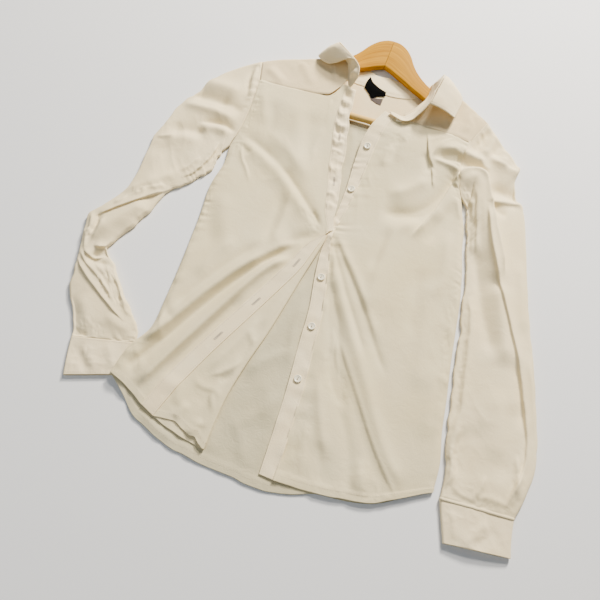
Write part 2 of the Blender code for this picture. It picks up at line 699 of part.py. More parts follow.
COLLAR = table(
    "seam_x seam_y seam_z top_x top_y top_z edge_x edge_y edge_z bulge",
    (-50, 376, 17.2, -41, 390, 36, 0, 0, 0, 0),
    (-56, 391, 17.2, -44, 402, 41, 0, 0, 0, 0),
    (-61, 406, 17.2, -55, 414, 42, -92, 401, 31, 6),
    (-67, 420, 17.2, -72, 424, 46, -105, 405, 28, 7),
    (-72, 434, 17.2, -88, 434, 47, -117, 414, 24, 8),
    (-73.5, 444, 13.8, -91, 447, 34, -118, 432, 14, 7),
    (-73.5, 447, 8.5, -86, 455, 19, -108, 446, 6, 4),
    (-74.5, 444, 2.5, -78, 458, 6.4, -93, 448, 1.2, 1),
    (-63, 427, 2.35, -66, 451, 2.3, -67, 440, 0.6, 0),
    (-51, 406, 2.5, -46, 436, 2.6, -53, 413, 0.6, 0),
    (-33, 403.2, 2.5, -31, 434, 2.6, -36, 408, 0.6, 0),
    (-15, 400.8, 2.5, -15, 427.5, 2.6, -16, 405, 0.6, 0),
    (3, 398.2, 2.5, 1, 430.0, 2.6, 3, 403, 0.6, 0),
    (22, 397.8, 2.5, 20, 428.5, 2.6, 22, 403, 0.6, 0),
    (44, 402.6, 2.5, 44, 426, 2.6, 45, 408, 0.6, 0),
    (61, 412.2, 2.5, 64, 434, 2.6, 62, 424, 0.6, 0),
    (70, 421.5, 2.3, 76, 441, 3.4, 86, 441, 0.8, 0),
    (75, 431.5, 3.6, 82, 446, 10, 98, 441, 3, 1),
    (76.5, 435.5, 8.5, 88, 444, 22, 112, 437, 8, 4),
    (76.5, 432.5, 14, 91, 437, 37, 122, 429, 15, 6),
    (77, 422, 17.2, 90, 420, 49, 129, 410, 25, 8),
    (78, 404, 17.2, 87, 396, 49, 129, 388, 28, 8),
    (73, 384, 17.2, 82, 366, 45, 127, 364, 32, 6),
    (63, 364, 17.2, 68, 343, 33, 0, 0, 0, 0),
    (51, 349, 17.2, 53, 334, 27, 0, 0, 0, 0),
    (38, 350, 17.2, 37, 339, 26, 0, 0, 0, 0),
    (28, 352, 17.2, 26, 347, 24, 0, 0, 0, 0),
)
LEAF_FIRST = 2
LEAF_LAST = 22
COLLAR_LAST = len(COLLAR["bulge"]) - 1


def stand_grid(places, across):
    """Middle of the collar stand at places along it (down the rows) and from seam to top."""
    seam = np.stack([along(COLLAR["seam_" + axis], places) for axis in "xyz"], axis=1)
    top = np.stack([along(COLLAR["top_" + axis], places) for axis in "xyz"], axis=1)
    return seam[:, None, :] + (top - seam)[:, None, :] * across[None, :, None]


def leaf_grid(places, across):
    """Middle of the collar leaf: from just outside the stand's top, over and down to its edge."""
    stand = stand_grid(places, np.linspace(0, 1, 5))
    outward = grid_normals(stand, False)[:, -1]
    root = stand[:, -1] + outward * (BAND / 2 + CLOTH / 2 + SEAM)
    first = LEAF_FIRST / COLLAR_LAST
    length = (LEAF_LAST - LEAF_FIRST) / COLLAR_LAST
    share = (places - first) / length
    used = slice(LEAF_FIRST, LEAF_LAST + 1)
    edge = np.stack([along(COLLAR["edge_" + axis][used], share) for axis in "xyz"], axis=1)
    bulge = along(COLLAR["bulge"][used], share)
    middle = (root + edge) / 2
    middle[:, 2] += bulge
    s = across[None, :, None]
    return (1 - s) ** 2 * root[:, None] + 2 * s * (1 - s) * middle[:, None] + s ** 2 * edge[:, None]


def build_collar():
    places = np.linspace(0, 1, 2 * COLLAR_LAST + 1)
    wall("collar_stand", stand_grid(places, np.linspace(0, 1, 4)), BAND)
    used = places[2 * LEAF_FIRST:2 * LEAF_LAST + 1]
    wall("collar_leaf", leaf_grid(used, np.linspace(0, 1, 6)), CLOTH)


def build_stand_button():
    """The stand's own button, on its outer face near the wearer's left end."""
    places = np.linspace(0, 1, 2 * COLLAR_LAST + 1)
    stand = stand_grid(places, np.linspace(0, 1, 5))
    outward = grid_normals(stand, False)
    spot = stand[-4, 2] + outward[-4, 2] * (BAND / 2 + STAND_BUTTON_LIFT)
    button("button_stand", spot, outward[-4, 2], STAND_BUTTON_TURN)


# Sleeves and cuffs: flattened tubes. out is the edge away from the body and in the one beside it;
# out_h, mid_h and in_h are the tube's heights there.

RIGHT_SLEEVE = table(
    "out_x out_y in_x in_y out_h mid_h in_h",
    (-208, 383, -196.5, 210, 15.8, 12.0, 6.0),
    (-245, 355, -203, 196, 12.0, 11.5, 6.0),
    (-275, 318, -205, 180, 9.5, 11.0, 6.0),
    (-290, 279, -205, 163, 8.0, 11.0, 5.5),
    (-304, 254, -212, 149, 7.0, 10.5, 5.5),
    (-311, 215, -221, 138, 6.5, 10.0, 5.5),
    (-316, 186, -228, 126, 6.0, 9.5, 5.5),
    (-313, 138, -243, 112, 6.0, 9.5, 5.5),
    (-313, 88, -255, 98, 6.5, 9.5, 6.0),
    (-330, 52, -262, 62, 7.0, 9.5, 6.5),
    (-346, 24, -276, 27, 7.5, 9.5, 7.0),
    (-341, -10, -294, -12, 7.5, 9.5, 7.0),
    (-332, -42, -293, -27, 7.0, 9.0, 7.0),
    (-325, -70, -269, -47, 6.5, 8.5, 6.5),
    (-319, -96, -240, -80, 6.0, 8.0, 6.0),
    (-299, -124, -216, -103, 5.5, 7.5, 5.5),
    (-284, -150, -197.5, -124, 5.0, 6.0, 4.8),
    (-280.5, -162, -193, -140, 5.0, 5.2, 4.6),
)
RIGHT_CUFF = table(
    "out_x out_y in_x in_y out_h mid_h in_h",
    (-280.8, -162.8, -193, -140.8, 5.2, 5.2, 4.6),
    (-276, -182, -194, -158, 5.2, 5.6, 4.6),
    (-271, -199, -196, -175, 5.2, 5.6, 4.6),
    (-265.5, -216, -198, -191, 5.2, 5.2, 4.6),
)
LEFT_SLEEVE = table(
    "out_x out_y in_x in_y out_h mid_h in_h",
    (181, 387, 176.5, 240, 15.8, 12.5, 7.0),
    (213, 355, 186, 229, 13.0, 13.0, 7.0),
    (240, 329, 191, 213, 10.0, 13.0, 6.5),
    (246, 300, 196, 194, 8.5, 12.5, 6.0),
    (255, 265, 201, 176, 8.0, 12.0, 6.0),
    (270, 246, 205, 158, 7.5, 11.5, 6.0),
    (284, 200, 211, 130, 7.0, 11.0, 5.5),
    (297, 150, 216, 100, 7.0, 10.5, 5.5),
    (309, 100, 222, 62, 6.5, 10.5, 5.5),
    (324, 50, 229, 25, 6.5, 10.0, 5.5),
    (339, 0, 233, -15, 6.5, 10.0, 5.5),
    (350, -40, 238, -55, 6.5, 10.0, 5.5),
    (361, -85, 244, -95, 6.5, 10.0, 5.5),
    (365, -125, 252, -133, 6.5, 9.5, 6.0),
    (361, -165, 257, -165, 6.5, 9.0, 6.5),
    (354, -189, 260, -196, 6.0, 7.5, 6.5),
)
LEFT_CUFF = table(
    "out_x out_y in_x in_y out_h mid_h in_h",
    (354, -189.8, 260.2, -196.8, 6.0, 7.6, 6.5),
    (355, -206, 266, -214, 6.0, 8.2, 6.5),
    (357, -222, 272, -231, 6.0, 8.6, 6.5),
    (360, -237, 278, -248, 6.0, 9.0, 6.5),
)
RING_FLAT = 7
ARMHOLE_REACH = 0.22     # share of a sleeve over which the armhole's shape fades away
RING_TOP = 10


def armhole_shape(side, share):
    """Sideways bow of the armhole seam away from a straight line, from shoulder to armpit."""
    places = np.linspace(0, 1, 60)
    tip = LEFT_ARMPIT if side == "left" else RIGHT_ARMPIT
    x, y = side_edge(side, places * tip)
    shoulder = (181, 387) if side == "left" else (-208, 383)
    x = np.concatenate([[shoulder[0]], x])
    y = np.concatenate([[shoulder[1]], y])
    run = np.concatenate([[0], np.cumsum(np.hypot(np.diff(x), np.diff(y)))])
    run = run / run[-1]
    bow_x = np.interp(share, run, x) - (x[0] + (x[-1] - x[0]) * share)
    bow_y = np.interp(share, run, y) - (y[0] + (y[-1] - y[0]) * share)
    return bow_x, bow_y


def ring(width, out_h, mid_h, in_h, thickness):
    """Flattened ring as (place across, height) pairs, all of the middle of the cloth."""
    floor = thickness / 2
    rho_out = (out_h - thickness) / 2
    rho_in = (in_h - thickness) / 2
    crown = mid_h - (out_h + in_h) / 2
    points = []
    for share in np.linspace(0, 1, RING_FLAT):
        points.append((rho_out + (width - rho_out - rho_in) * share, floor))
    for angle in np.radians((-45, 0, 45)):
        points.append((width - rho_in + rho_in * math.cos(angle), floor + rho_in * (1 + math.sin(angle))))
    for share in np.linspace(1, 0, RING_TOP):
        rise = 2 * (rho_out + (rho_in - rho_out) * share) + crown * math.sin(math.pi * share)
        points.append((rho_out + (width - rho_out - rho_in) * share, floor + rise))
    for angle in np.radians((45, 0, -45)):
        points.append((rho_out - rho_out * math.cos(angle), floor + rho_out * (1 + math.sin(angle))))
    return np.array(points)


def tube_grid(columns, rows, thickness, side=None, piece=None):
    """Rings along a flattened tube; the first ring follows the armhole seam where side is given."""
    grid = []
    for down in np.linspace(0, 1, rows):
        row = {name: float(along(values, down)) for name, values in columns.items()}
        out = np.array([row["out_x"], row["out_y"]])
        inner = np.array([row["in_x"], row["in_y"]])
        width = float(np.linalg.norm(inner - out))
        points = ring(width, row["out_h"], row["mid_h"], row["in_h"], thickness)
        share = points[:, 0] / width
        place = out + (inner - out) * share[:, None]
        if side:
            bow = np.stack(armhole_shape(side, share), axis=1)
            place = place + bow * (1 - smooth(0, ARMHOLE_REACH, down))
        z = points[:, 1]
        if piece:
            upper = smooth(0.35, 0.75, z / z.max())
            edges = smooth(0, 0.12, share) * smooth(0, 0.12, 1 - share)
            ends = smooth(0, 0.06, down) * smooth(0, 0.06, 1 - down)
            z = z + fold_height(piece, place[:, 0], place[:, 1]) * upper * edges * ends
        grid.append(np.column_stack([place, z]))
    return np.array(grid)


def build_sleeves():
    gap = np.array([SLEEVE_GAP, 0, 0])
    right = tube_grid(RIGHT_SLEEVE, RIGHT_SLEEVE_ROWS, CLOTH, "right", "right_sleeve") - gap
    left = tube_grid(LEFT_SLEEVE, LEFT_SLEEVE_ROWS, CLOTH, "left", "left_sleeve") + gap
    wall("right_sleeve", right, CLOTH, closed=True)
    wall("left_sleeve", left, CLOTH, closed=True)
    wall("right_cuff", tube_grid(RIGHT_CUFF, CUFF_ROWS, BAND), BAND, closed=True)
    wall("left_cuff", tube_grid(LEFT_CUFF, CUFF_ROWS, BAND), BAND, closed=True)


# Label in the back of the neck, a loop of ribbon with a smaller grey tag under it; both are bare.

def build_labels():
    """Two thin bare tags that hang from the seam between stand and yoke."""
    black = np.array([
        [(-28, 424, 3.9), (-18, 415, 4.2), (-6, 407, 4.2), (6, 402, 3.9)],
        [(-31, 408, 5.4), (-20, 402, 6.0), (-7, 396, 6.0), (8, 394, 5.0)],
        [(-27, 396, 2.6), (-18, 388, 2.8), (-8, 385.5, 2.8), (6, 389, 2.6)],
    ], float)
    wall("label", black, 1.0, BLACK)
    grey = np.array([
        [(-17, 385.5, 2.0), (-5, 383, 2.0), (6, 386, 2.0)],
        [(-14, 381.5, 2.0), (-4, 379, 2.0), (5, 381, 2.0)],
        [(-11, 380, 2.0), (-3, 376.5, 2.0), (4, 375, 2.0)],
    ], float)
    wall("care_label", grey, 1.0, GREY)


# Hanger: two contoured halves mitred in the middle and a dowel bar.

HANGER_TOP = table(
    "from_middle y", (0.3, 502), (12, 500), (25, 492), (36, 479.5), (44, 465.5), (52, 453.5), (61, 443.5),
    (71, 434.5), (86, 424), (110, 413.5), (132, 405), (150, 397.5), (162, 391), (171, 382))
HANGER_LOWER = table(
    "from_middle y", (0.3, 442.4), (12, 437.5), (25, 430), (36, 424), (44, 419.5), (52, 415), (61, 410),
    (71, 405), (86, 396.5), (110, 383), (132, 369), (150, 356), (162, 346), (171, 341))
BAR_HALF = 166.0
HANGER_ROUND = 2.4


def build_hanger():
    places = np.linspace(0, 1, HANGER_SECTIONS)
    top = np.stack([along(HANGER_TOP["from_middle"], places), along(HANGER_TOP["y"], places)], axis=1)
    low = np.stack([along(HANGER_LOWER["from_middle"], places), along(HANGER_LOWER["y"], places)], axis=1)
    high = HANGER_LOW + HANGER_THICK
    for name, side in (("hanger_right", -1), ("hanger_left", 1)):
        rings = []
        for upper, lower in zip(top, low):
            along_face = (upper - lower) / np.linalg.norm(upper - lower)
            corner = []
            for point, away in ((lower, 1), (upper, -1)):
                inset = point + along_face * HANGER_ROUND * away
                corner.append((point, inset))
            profile = [(corner[0][0], HANGER_LOW + HANGER_ROUND), (corner[0][0], high - HANGER_ROUND),
                       (corner[0][1], high), (corner[1][1], high),
                       (corner[1][0], high - HANGER_ROUND), (corner[1][0], HANGER_LOW + HANGER_ROUND),
                       (corner[1][1], HANGER_LOW), (corner[0][1], HANGER_LOW)]
            rings.append([(HANGER_MIDDLE_X + side * p[0], p[1], z) for p, z in profile])
        vertices = [point for one in rings for point in one]
        sides = len(rings[0])
        last = (HANGER_SECTIONS - 1) * sides
        faces = [tuple(range(sides)), tuple(range(last, last + sides))[::-1]]
        for i in range(HANGER_SECTIONS - 1):
            for j in range(sides):
                a = i * sides + j
                b = i * sides + (j + 1) % sides
                faces.append((a, b, b + sides, a + sides))
        solid(name, vertices, faces, WOOD, 0.45)
    bar = []
    segments = ROUND_SEGMENTS
    centre_z = HANGER_LOW + HANGER_THICK / 2
    for x in (HANGER_MIDDLE_X - BAR_HALF, HANGER_MIDDLE_X + BAR_HALF):
        for step in range(segments):
            angle = 2 * math.pi * step / segments
            bar.append((x, BAR_Y + BAR_RADIUS * math.cos(angle), centre_z + BAR_RADIUS * math.sin(angle)))
    faces = [tuple(range(segments)), tuple(range(segments, 2 * segments))[::-1]]
    for step in range(segments):
        faces.append((step, (step + 1) % segments, (step + 1) % segments + segments, step + segments))
    solid("hanger_bar", bar, faces, WOOD, 0.45)


def move_to_origin():
    """Put the middle of the underside of the bounding box at the origin."""
    corners = []
    for piece in bpy.data.objects:
        for vertex in piece.data.vertices:
            corners.append(vertex.co)
    points = np.array(corners)
    low = points.min(axis=0)
    high = points.max(axis=0)
    shift = -(low + high) / 2
    for piece in bpy.data.objects:
        piece.location = (shift[0], shift[1], 0)
    print("origin moved by", shift)


build_back()
flap_seam, flap_turn = build_right_front()
build_right_placket(flap_seam, flap_turn)
build_left_front()
build_left_placket()
build_buttons()
build_yoke()
build_collar()
build_stand_button()
build_sleeves()
build_labels()
build_hanger()
move_to_origin()
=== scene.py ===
# %% [markdown]
# A crumpled blouse that lies face up with its wooden hanger still inside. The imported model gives
# every piece its place and size. This script dresses it: each panel of cloth is drawn again as a
# fine sheet with the creases that the real one has, then gets its sewing and its finish.

# %% Load the frame
import json
import math

import bmesh
import bpy
import numpy as np
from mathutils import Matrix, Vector

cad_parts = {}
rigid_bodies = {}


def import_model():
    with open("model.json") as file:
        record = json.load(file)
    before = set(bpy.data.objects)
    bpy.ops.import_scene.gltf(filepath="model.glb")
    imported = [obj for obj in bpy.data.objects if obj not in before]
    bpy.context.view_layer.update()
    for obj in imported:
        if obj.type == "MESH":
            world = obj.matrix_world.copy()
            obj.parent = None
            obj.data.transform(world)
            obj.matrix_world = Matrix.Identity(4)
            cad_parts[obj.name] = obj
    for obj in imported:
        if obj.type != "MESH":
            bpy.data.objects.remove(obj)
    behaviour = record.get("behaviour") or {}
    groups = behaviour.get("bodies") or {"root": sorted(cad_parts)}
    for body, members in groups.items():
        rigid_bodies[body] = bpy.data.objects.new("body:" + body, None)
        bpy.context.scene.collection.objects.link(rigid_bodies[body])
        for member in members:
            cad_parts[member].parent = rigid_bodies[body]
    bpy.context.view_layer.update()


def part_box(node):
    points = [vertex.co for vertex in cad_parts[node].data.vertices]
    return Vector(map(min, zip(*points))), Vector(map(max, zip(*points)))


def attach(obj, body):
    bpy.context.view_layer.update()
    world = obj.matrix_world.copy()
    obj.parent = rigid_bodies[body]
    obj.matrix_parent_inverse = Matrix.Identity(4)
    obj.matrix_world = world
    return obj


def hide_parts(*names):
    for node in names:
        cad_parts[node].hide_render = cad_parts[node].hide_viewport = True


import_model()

# %% [markdown]
# The tables below are in millimetres around the middle of the body, as a tailor would mark them on
# the table: +X to the wearer's left and +Y to the collar. The hanger's joint and its crown are known
# in both systems, so they give the shift between them.

# %% Units and the shift to the model's own origin
MM = 0.001
HANGER_MIDDLE_X = -10.5
MITRE_GAP = 0.3
HANGER_CROWN_Y = 502.0
hanger_low, hanger_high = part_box("hanger_left")
shift_x = hanger_low.x / MM - (HANGER_MIDDLE_X + MITRE_GAP)
SHIFT = np.array([shift_x, hanger_high.y / MM - HANGER_CROWN_Y, 0.0])
print("shift in mm", SHIFT.round(2))

# %% [markdown]
# Cloth is easiest to draw as curves through a few measured places. These helpers read a table and
# run smooth curves through its columns.

# %% Tables and curves


def table(names, *rows):
    """A short table kept as named columns."""
    return {name: np.array([row[i] for row in rows], float) for i, name in enumerate(names.split())}


def curve_between(before, start, end, after, f):
    """Smooth curve from start (f 0) to end (f 1), guided by the values before and after them."""
    bend = 2 * before - 5 * start + 4 * end - after
    return start + 0.5 * f * (end - before + f * (bend + f * (3 * (start - end) + after - before)))


def along(values, place):
    """Smooth curve through evenly numbered values, read at places from 0 (first) to 1 (last)."""
    values = np.asarray(values, float)
    last = len(values) - 1
    step = np.clip(np.asarray(place, float), 0, 1) * last
    low = np.minimum(step.astype(int), last - 1)
    around = [values[np.clip(low + shift, 0, last)] for shift in (-1, 0, 1, 2)]
    return curve_between(*around, step - low)


def smooth(low, high, value):
    """0 below low, 1 above high, with a soft step between."""
    part = np.clip((value - low) / (high - low), 0, 1)
    return part * part * (3 - 2 * part)


def across_heights(heights, across):
    """Smooth height across a row from five heights at quarters of it."""
    shape = np.broadcast_shapes(np.shape(heights[0]), across.shape)
    stack = np.stack([np.broadcast_to(layer, shape) for layer in heights])
    step = np.broadcast_to(np.clip(across, 0, 1) * 4, shape)
    low = np.minimum(step.astype(int), 3)
    picked = [np.clip(low + shift, 0, 4)[None] for shift in (-1, 0, 1, 2)]
    around = [np.take_along_axis(stack, index, axis=0)[0] for index in picked]
    return curve_between(*around, step - low)


# %% [markdown]
# No hand-drawn line is even, and cloth is less even still. Seeded value noise gives the small
# unevenness: the same seed always gives the same cloth.

# %% Seeded unevenness
NOISE_CELLS = 97
NOISE_START = 300.0


def cell_and_ease(value):
    """The whole cell below each value, and how far it is on to the next one, eased."""
    cell = np.floor(value).astype(int)
    part = value - cell
    return cell, part * part * part * (part * (part * 6 - 15) + 10)


def uneven(x, y, size, seed):
    """Soft unevenness from -1 to 1 whose bumps are about size millimetres wide."""
    x, y = np.broadcast_arrays(np.asarray(x, float), np.asarray(y, float))
    grid = np.random.RandomState(seed).uniform(-1, 1, (NOISE_CELLS, NOISE_CELLS))
    iu, fu = cell_and_ease(x / size + NOISE_START)
    iv, fv = cell_and_ease(y / size + NOISE_START)

    def row(step):
        first = grid[iu % NOISE_CELLS, (iv + step) % NOISE_CELLS]
        second = grid[(iu + 1) % NOISE_CELLS, (iv + step) % NOISE_CELLS]
        return first * (1 - fu) + second * fu

    return row(0) * (1 - fv) + row(1) * fv


def rumple(x, y, seed, size=30.0, turn=0.6):
    """Slight crumpling all over: soft swells with faint, sharper wrinkles on them."""
    u = x * math.cos(turn) + y * math.sin(turn)
    v = (y * math.cos(turn) - x * math.sin(turn)) * 0.55
    bend_u = u + 9 * uneven(u, v, size * 1.3, seed + 5)
    bend_v = v + 9 * uneven(u, v, size * 1.3, seed + 6)
    swell = uneven(u, v, size * 1.7, seed)
    crest = 1 - 2 * abs(uneven(bend_u, bend_v, size, seed + 1)) ** 0.8
    fine = 1 - 2 * abs(uneven(bend_u, bend_v, size * 0.42, seed + 2))
    patch = smooth(-0.2, 0.8, uneven(x, y, size * 3, seed + 3))
    return 0.6 * swell + (0.45 * crest + 0.16 * fine) * patch


# %% [markdown]
# The outline of the body: both side edges from the seam under the yoke down to the hem, and the
# hem's own curves. The wearer's right corner of the hem rides up on the cuff that lies under it.

# %% Outline of the body
SIDES = table(
    "right_x right_y left_x left_y lift",
    (-194, 338, 162, 338, 0),
    (-191, 312, 159, 312, 0),
    (-190, 285, 159, 287, 0),
    (-190, 258, 165, 262, 0),
    (-192, 233, 175, 240, 0),
    (-195, 211, 184, 215, 0),
    (-192, 178, 193, 188, 0),
    (-196, 146, 199, 155, 0),
    (-196, 122, 207, 125, 0),
    (-193, 100, 212, 100, 0),
    (-190, 75, 217, 72, 0),
    (-187, 35, 222, 30, 0),
    (-184, -12, 228, -20, 0),
    (-182, -62, 235, -68, 0),
    (-182, -112, 241, -115, 1.5),
    (-198, -150, 249, -155, 5.8),
    (-205, -192, 250, -193, 6.0),
)
ROWS = len(SIDES["lift"]) - 1
RIGHT_ARMPIT = 5 / ROWS
LEFT_ARMPIT = 4 / ROWS
BACK_HEM = table(
    "x y", (-205, -192), (-180, -210), (-148, -236), (-100, -253), (-50, -262), (0, -264), (50, -264),
    (80, -258), (110, -247), (150, -241), (185, -232), (222, -210), (250, -193))
RIGHT_FRONT_HEM = table(
    "x y", (-205, -192), (-180, -200), (-150, -216), (-125, -226), (-98, -235), (-47, -243))
LEFT_FRONT_HEM = table("x y", (56, -249), (100, -246), (145, -241), (180, -233), (207, -219), (250, -193))
RIGHT_TOP = table("x y", (-194, 338), (-163, 340), (-132, 342.5), (-102, 346), (-76, 352), (-63, 376))
HEM_REACH = 5
TOP_REACH = 20
CLOTH = 0.8
BAND = 1.3
BACK_TOP = 1.2


def side_edge(side, place):
    """Points of one side edge of the body at places down its length."""
    return along(SIDES[side + "_x"], place), along(SIDES[side + "_y"], place)


def corner_lift(x, place):
    """Lift over the right cuff, fading away from the side edge."""
    edge = along(SIDES["right_x"], place)
    return np.maximum(along(SIDES["lift"], place), 0) * (1 - smooth(6, 40, x - edge))


def edge_bow(curve, across, share):
    """Offset that bends a straight row to a curved edge, as far as share (0 to 1) says."""
    x = along(curve["x"], across)
    y = along(curve["y"], across)
    straight_x = curve["x"][0] + (curve["x"][-1] - curve["x"][0]) * across
    straight_y = curve["y"][0] + (curve["y"][-1] - curve["y"][0]) * across
    return (x - straight_x) * share, (y - straight_y) * share


def round_edge(distance, radius=11.0):
    """Rise of the upper layer beside a side seam: a quarter circle that levels out."""
    part = np.clip(distance / radius, 0, 1)
    return np.sqrt(np.maximum(1 - (1 - part) ** 2, 0))


# %% [markdown]
# Creases are what makes the cloth look slept on. Each is a listed line seen from above, with a
# height (less than 0 for a trough), a half width, how sharp its crest is, and how far its crest
# leans over towards the right of its direction.

# %% Creases
FOLD_SCALE = 1.6
FADE = 30


class Relief:
    """Sums the creases of one piece into a height and a sideways lean."""

    def __init__(self, x, y):
        self.x = x
        self.y = y
        self.z = np.zeros_like(x)
        self.dx = np.zeros_like(x)
        self.dy = np.zeros_like(x)

    def crease(self, height, width, sharp, lean, *points):
        """Adds one crease that runs through the points."""
        px = along([p[0] for p in points], np.linspace(0, 1, 7 * (len(points) - 1) + 1))
        py = along([p[1] for p in points], np.linspace(0, 1, 7 * (len(points) - 1) + 1))
        reach = width * 4 + abs(lean)
        near = ((self.x > px.min() - reach) & (self.x < px.max() + reach)
                & (self.y > py.min() - reach) & (self.y < py.max() + reach))
        if not near.any():
            return
        x = self.x[near]
        y = self.y[near]
        best = np.full(x.shape, 1e9)
        side, run, across_x, across_y = np.zeros((4, *x.shape))
        steps = np.hypot(np.diff(px), np.diff(py))
        total = steps.sum()
        done = 0.0
        for i, length in enumerate(steps):
            ux = (px[i + 1] - px[i]) / length
            uy = (py[i + 1] - py[i]) / length
            t = np.clip((x - px[i]) * ux + (y - py[i]) * uy, 0, length)
            off_x = x - px[i] - t * ux
            off_y = y - py[i] - t * uy
            distance = off_x * off_x + off_y * off_y
            closer = distance < best
            best = np.where(closer, distance, best)
            side = np.where(closer, off_x * uy - off_y * ux, side)
            run = np.where(closer, (done + t) / total, run)
            across_x = np.where(closer, uy, across_x)
            across_y = np.where(closer, -ux, across_y)
            done += length
        distance = np.sqrt(best)
        wide = np.where(side > 0, width * (1 - 0.82 * sharp), width)
        blunt = width * (0.75 - 0.7 * sharp) + 0.4
        shape = np.exp(-(np.sqrt(distance ** 2 + blunt ** 2) - blunt) / (wide * 0.62))
        shape = shape * np.exp(-(distance / (wide * 2.6)) ** 4)
        fade = min(0.3, FADE / total)
        ends = smooth(0, fade, run) * smooth(0, fade, 1 - run)
        self.z[near] += height * FOLD_SCALE * shape * ends
        self.dx[near] += lean * shape * ends * across_x
        self.dy[near] += lean * shape * ends * across_y


def relief_of(x, y, creases):
    """The summed creases of one piece at its points."""
    relief = Relief(x, y)
    for crease in creases:
        relief.crease(*crease)
    return relief


def kept_above(floor, z):
    """Heights that never sink below a floor, but level out softly just above it."""
    return floor + np.logaddexp(0, (z - floor) * 3) / 3


# %% [markdown]
# Some places are crushed into small sharp crinkles, as a hand leaves them. Each patch names its
# middle, its reach along and across, the way it runs, the size of its crinkles and their height.

# %% Crinkled patches


def crinkled(x, y, patches, seed):
    """Small sharp ridges inside soft-edged oval patches."""
    total = np.zeros(np.broadcast(x, y).shape)
    for number, (at_x, at_y, long, wide, turn, size, height) in enumerate(patches):
        turned = math.radians(turn)
        u = (x - at_x) * math.cos(turned) + (y - at_y) * math.sin(turned)
        v = (y - at_y) * math.cos(turned) - (x - at_x) * math.sin(turned)
        inside = np.exp(-((u / long) ** 2 + (v / wide) ** 2) ** 2)
        bend = size * 0.4 * uneven(u, v, size, seed + number + 40)
        ridges = 1 - 2.4 * abs(uneven(u * 0.6 + bend, v + bend, size, seed + number))
        second = 1 - 2.4 * abs(uneven(u + bend, v * 0.7 - bend, size * 0.6, seed + number + 20))
        total = total + height * inside * (0.7 * ridges + 0.4 * second)
    return total


# %% [markdown]
# Seams draw the cloth together a little, so small puckers stand beside them. They are strongest at
# the seam and die out within a couple of centimetres.

# %% Puckers beside a seam


def pucker(run, distance, height, reach, seed, pitch=7.0):
    """Small uneven waves that stand across a seam, fading with distance from it."""
    drift = 4 * uneven(run, distance, 40, seed + 1)
    wave = uneven(run + drift + distance * 0.25, 0 * run, pitch, seed)
    gate = 0.35 + 0.65 * smooth(-0.5, 0.6, uneven(run, 0 * run, 60, seed + 2))
    return height * wave * gate * np.exp(-(np.maximum(distance, 0) / reach) ** 1.3)


# %% [markdown]
# A sheet of cloth is a grid of points for the middle of its thickness. It is thickened along its own
# normals, and gets a map in real metres, so that the weave has the same size on every piece.

# %% From a grid to a piece of cloth
GRIDS = {}
TUCK = 2.4
TUCK_BEND = 0.9
TUCK_ROWS = 3


def unit(vectors):
    """The vectors at length 1."""
    return vectors / np.maximum(np.linalg.norm(vectors, axis=-1, keepdims=True), 1e-9)


def grid_normals(middle, closed=False):
    """Unit normals of a grid of points. A closed grid joins its last column to its first."""
    if closed:
        across = np.roll(middle, -1, axis=1) - np.roll(middle, 1, axis=1)
    else:
        across = np.gradient(middle, axis=1)
    return unit(np.cross(across, np.gradient(middle, axis=0)))


def seen_from(grid, side):
    """A grid turned so that the named side is its first row."""
    turned = grid.transpose(1, 0, 2) if side.endswith("column") else grid
    return turned[::-1] if side.startswith("last") else turned


def tuck(middle, side, drop=0.0, closed=False, length=TUCK):
    """A grid with a seam allowance added past one side, dropped below the neighbour's surface."""
    turned = seen_from(middle, side)
    edge_normal = seen_from(grid_normals(middle, closed), side)[0]
    ahead = turned[0] - turned[1]
    if closed:
        ahead[:, 2] = 0
    ahead = unit(ahead)
    sunk = edge_normal * drop
    added = [turned[0] + ahead * step - sunk * smooth(0, TUCK_BEND, step)
             for step in (length, TUCK_BEND, TUCK_BEND / 2)]
    turned = np.concatenate([np.array(added), turned])
    turned = turned[::-1] if side.startswith("last") else turned
    return turned.transpose(1, 0, 2) if side.endswith("column") else turned

# %% [markdown]
# A grid is numbered row by row, so the corners of every face follow from arithmetic. That is much
# quicker than adding faces one at a time. Each piece then rides on the body, takes the place of its
# CAD node, and remembers its grid for the stitches.

# %% From points to a mesh


def make_mesh(name, vertices, faces, material, uvs=None):
    """One piece from points in millimetres, riding on the blouse's body."""
    mesh = bpy.data.meshes.new(name)
    points = (np.asarray(vertices, float) + SHIFT) * MM
    mesh.from_pydata(points.tolist(), [], faces)
    if uvs is not None:
        layer = mesh.uv_layers.new(name="Cloth")
        index = np.empty(len(mesh.loops), int)
        mesh.loops.foreach_get("vertex_index", index)
        layer.data.foreach_set("uv", np.asarray(uvs, float)[index].ravel())
    mesh.materials.append(material)
    mesh.shade_smooth()
    piece = bpy.data.objects.new(name, mesh)
    bpy.context.collection.objects.link(piece)
    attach(piece, "root")
    return piece


def measured(points, axis):
    """Distance covered along one axis of a grid of points, from 0."""
    steps = np.linalg.norm(np.diff(points, axis=axis), axis=2)
    if axis == 0:
        return np.concatenate([[0], np.cumsum(steps.mean(axis=1))])[:, None]
    return np.concatenate([np.zeros((len(points), 1)), np.cumsum(steps, axis=1)], axis=1)


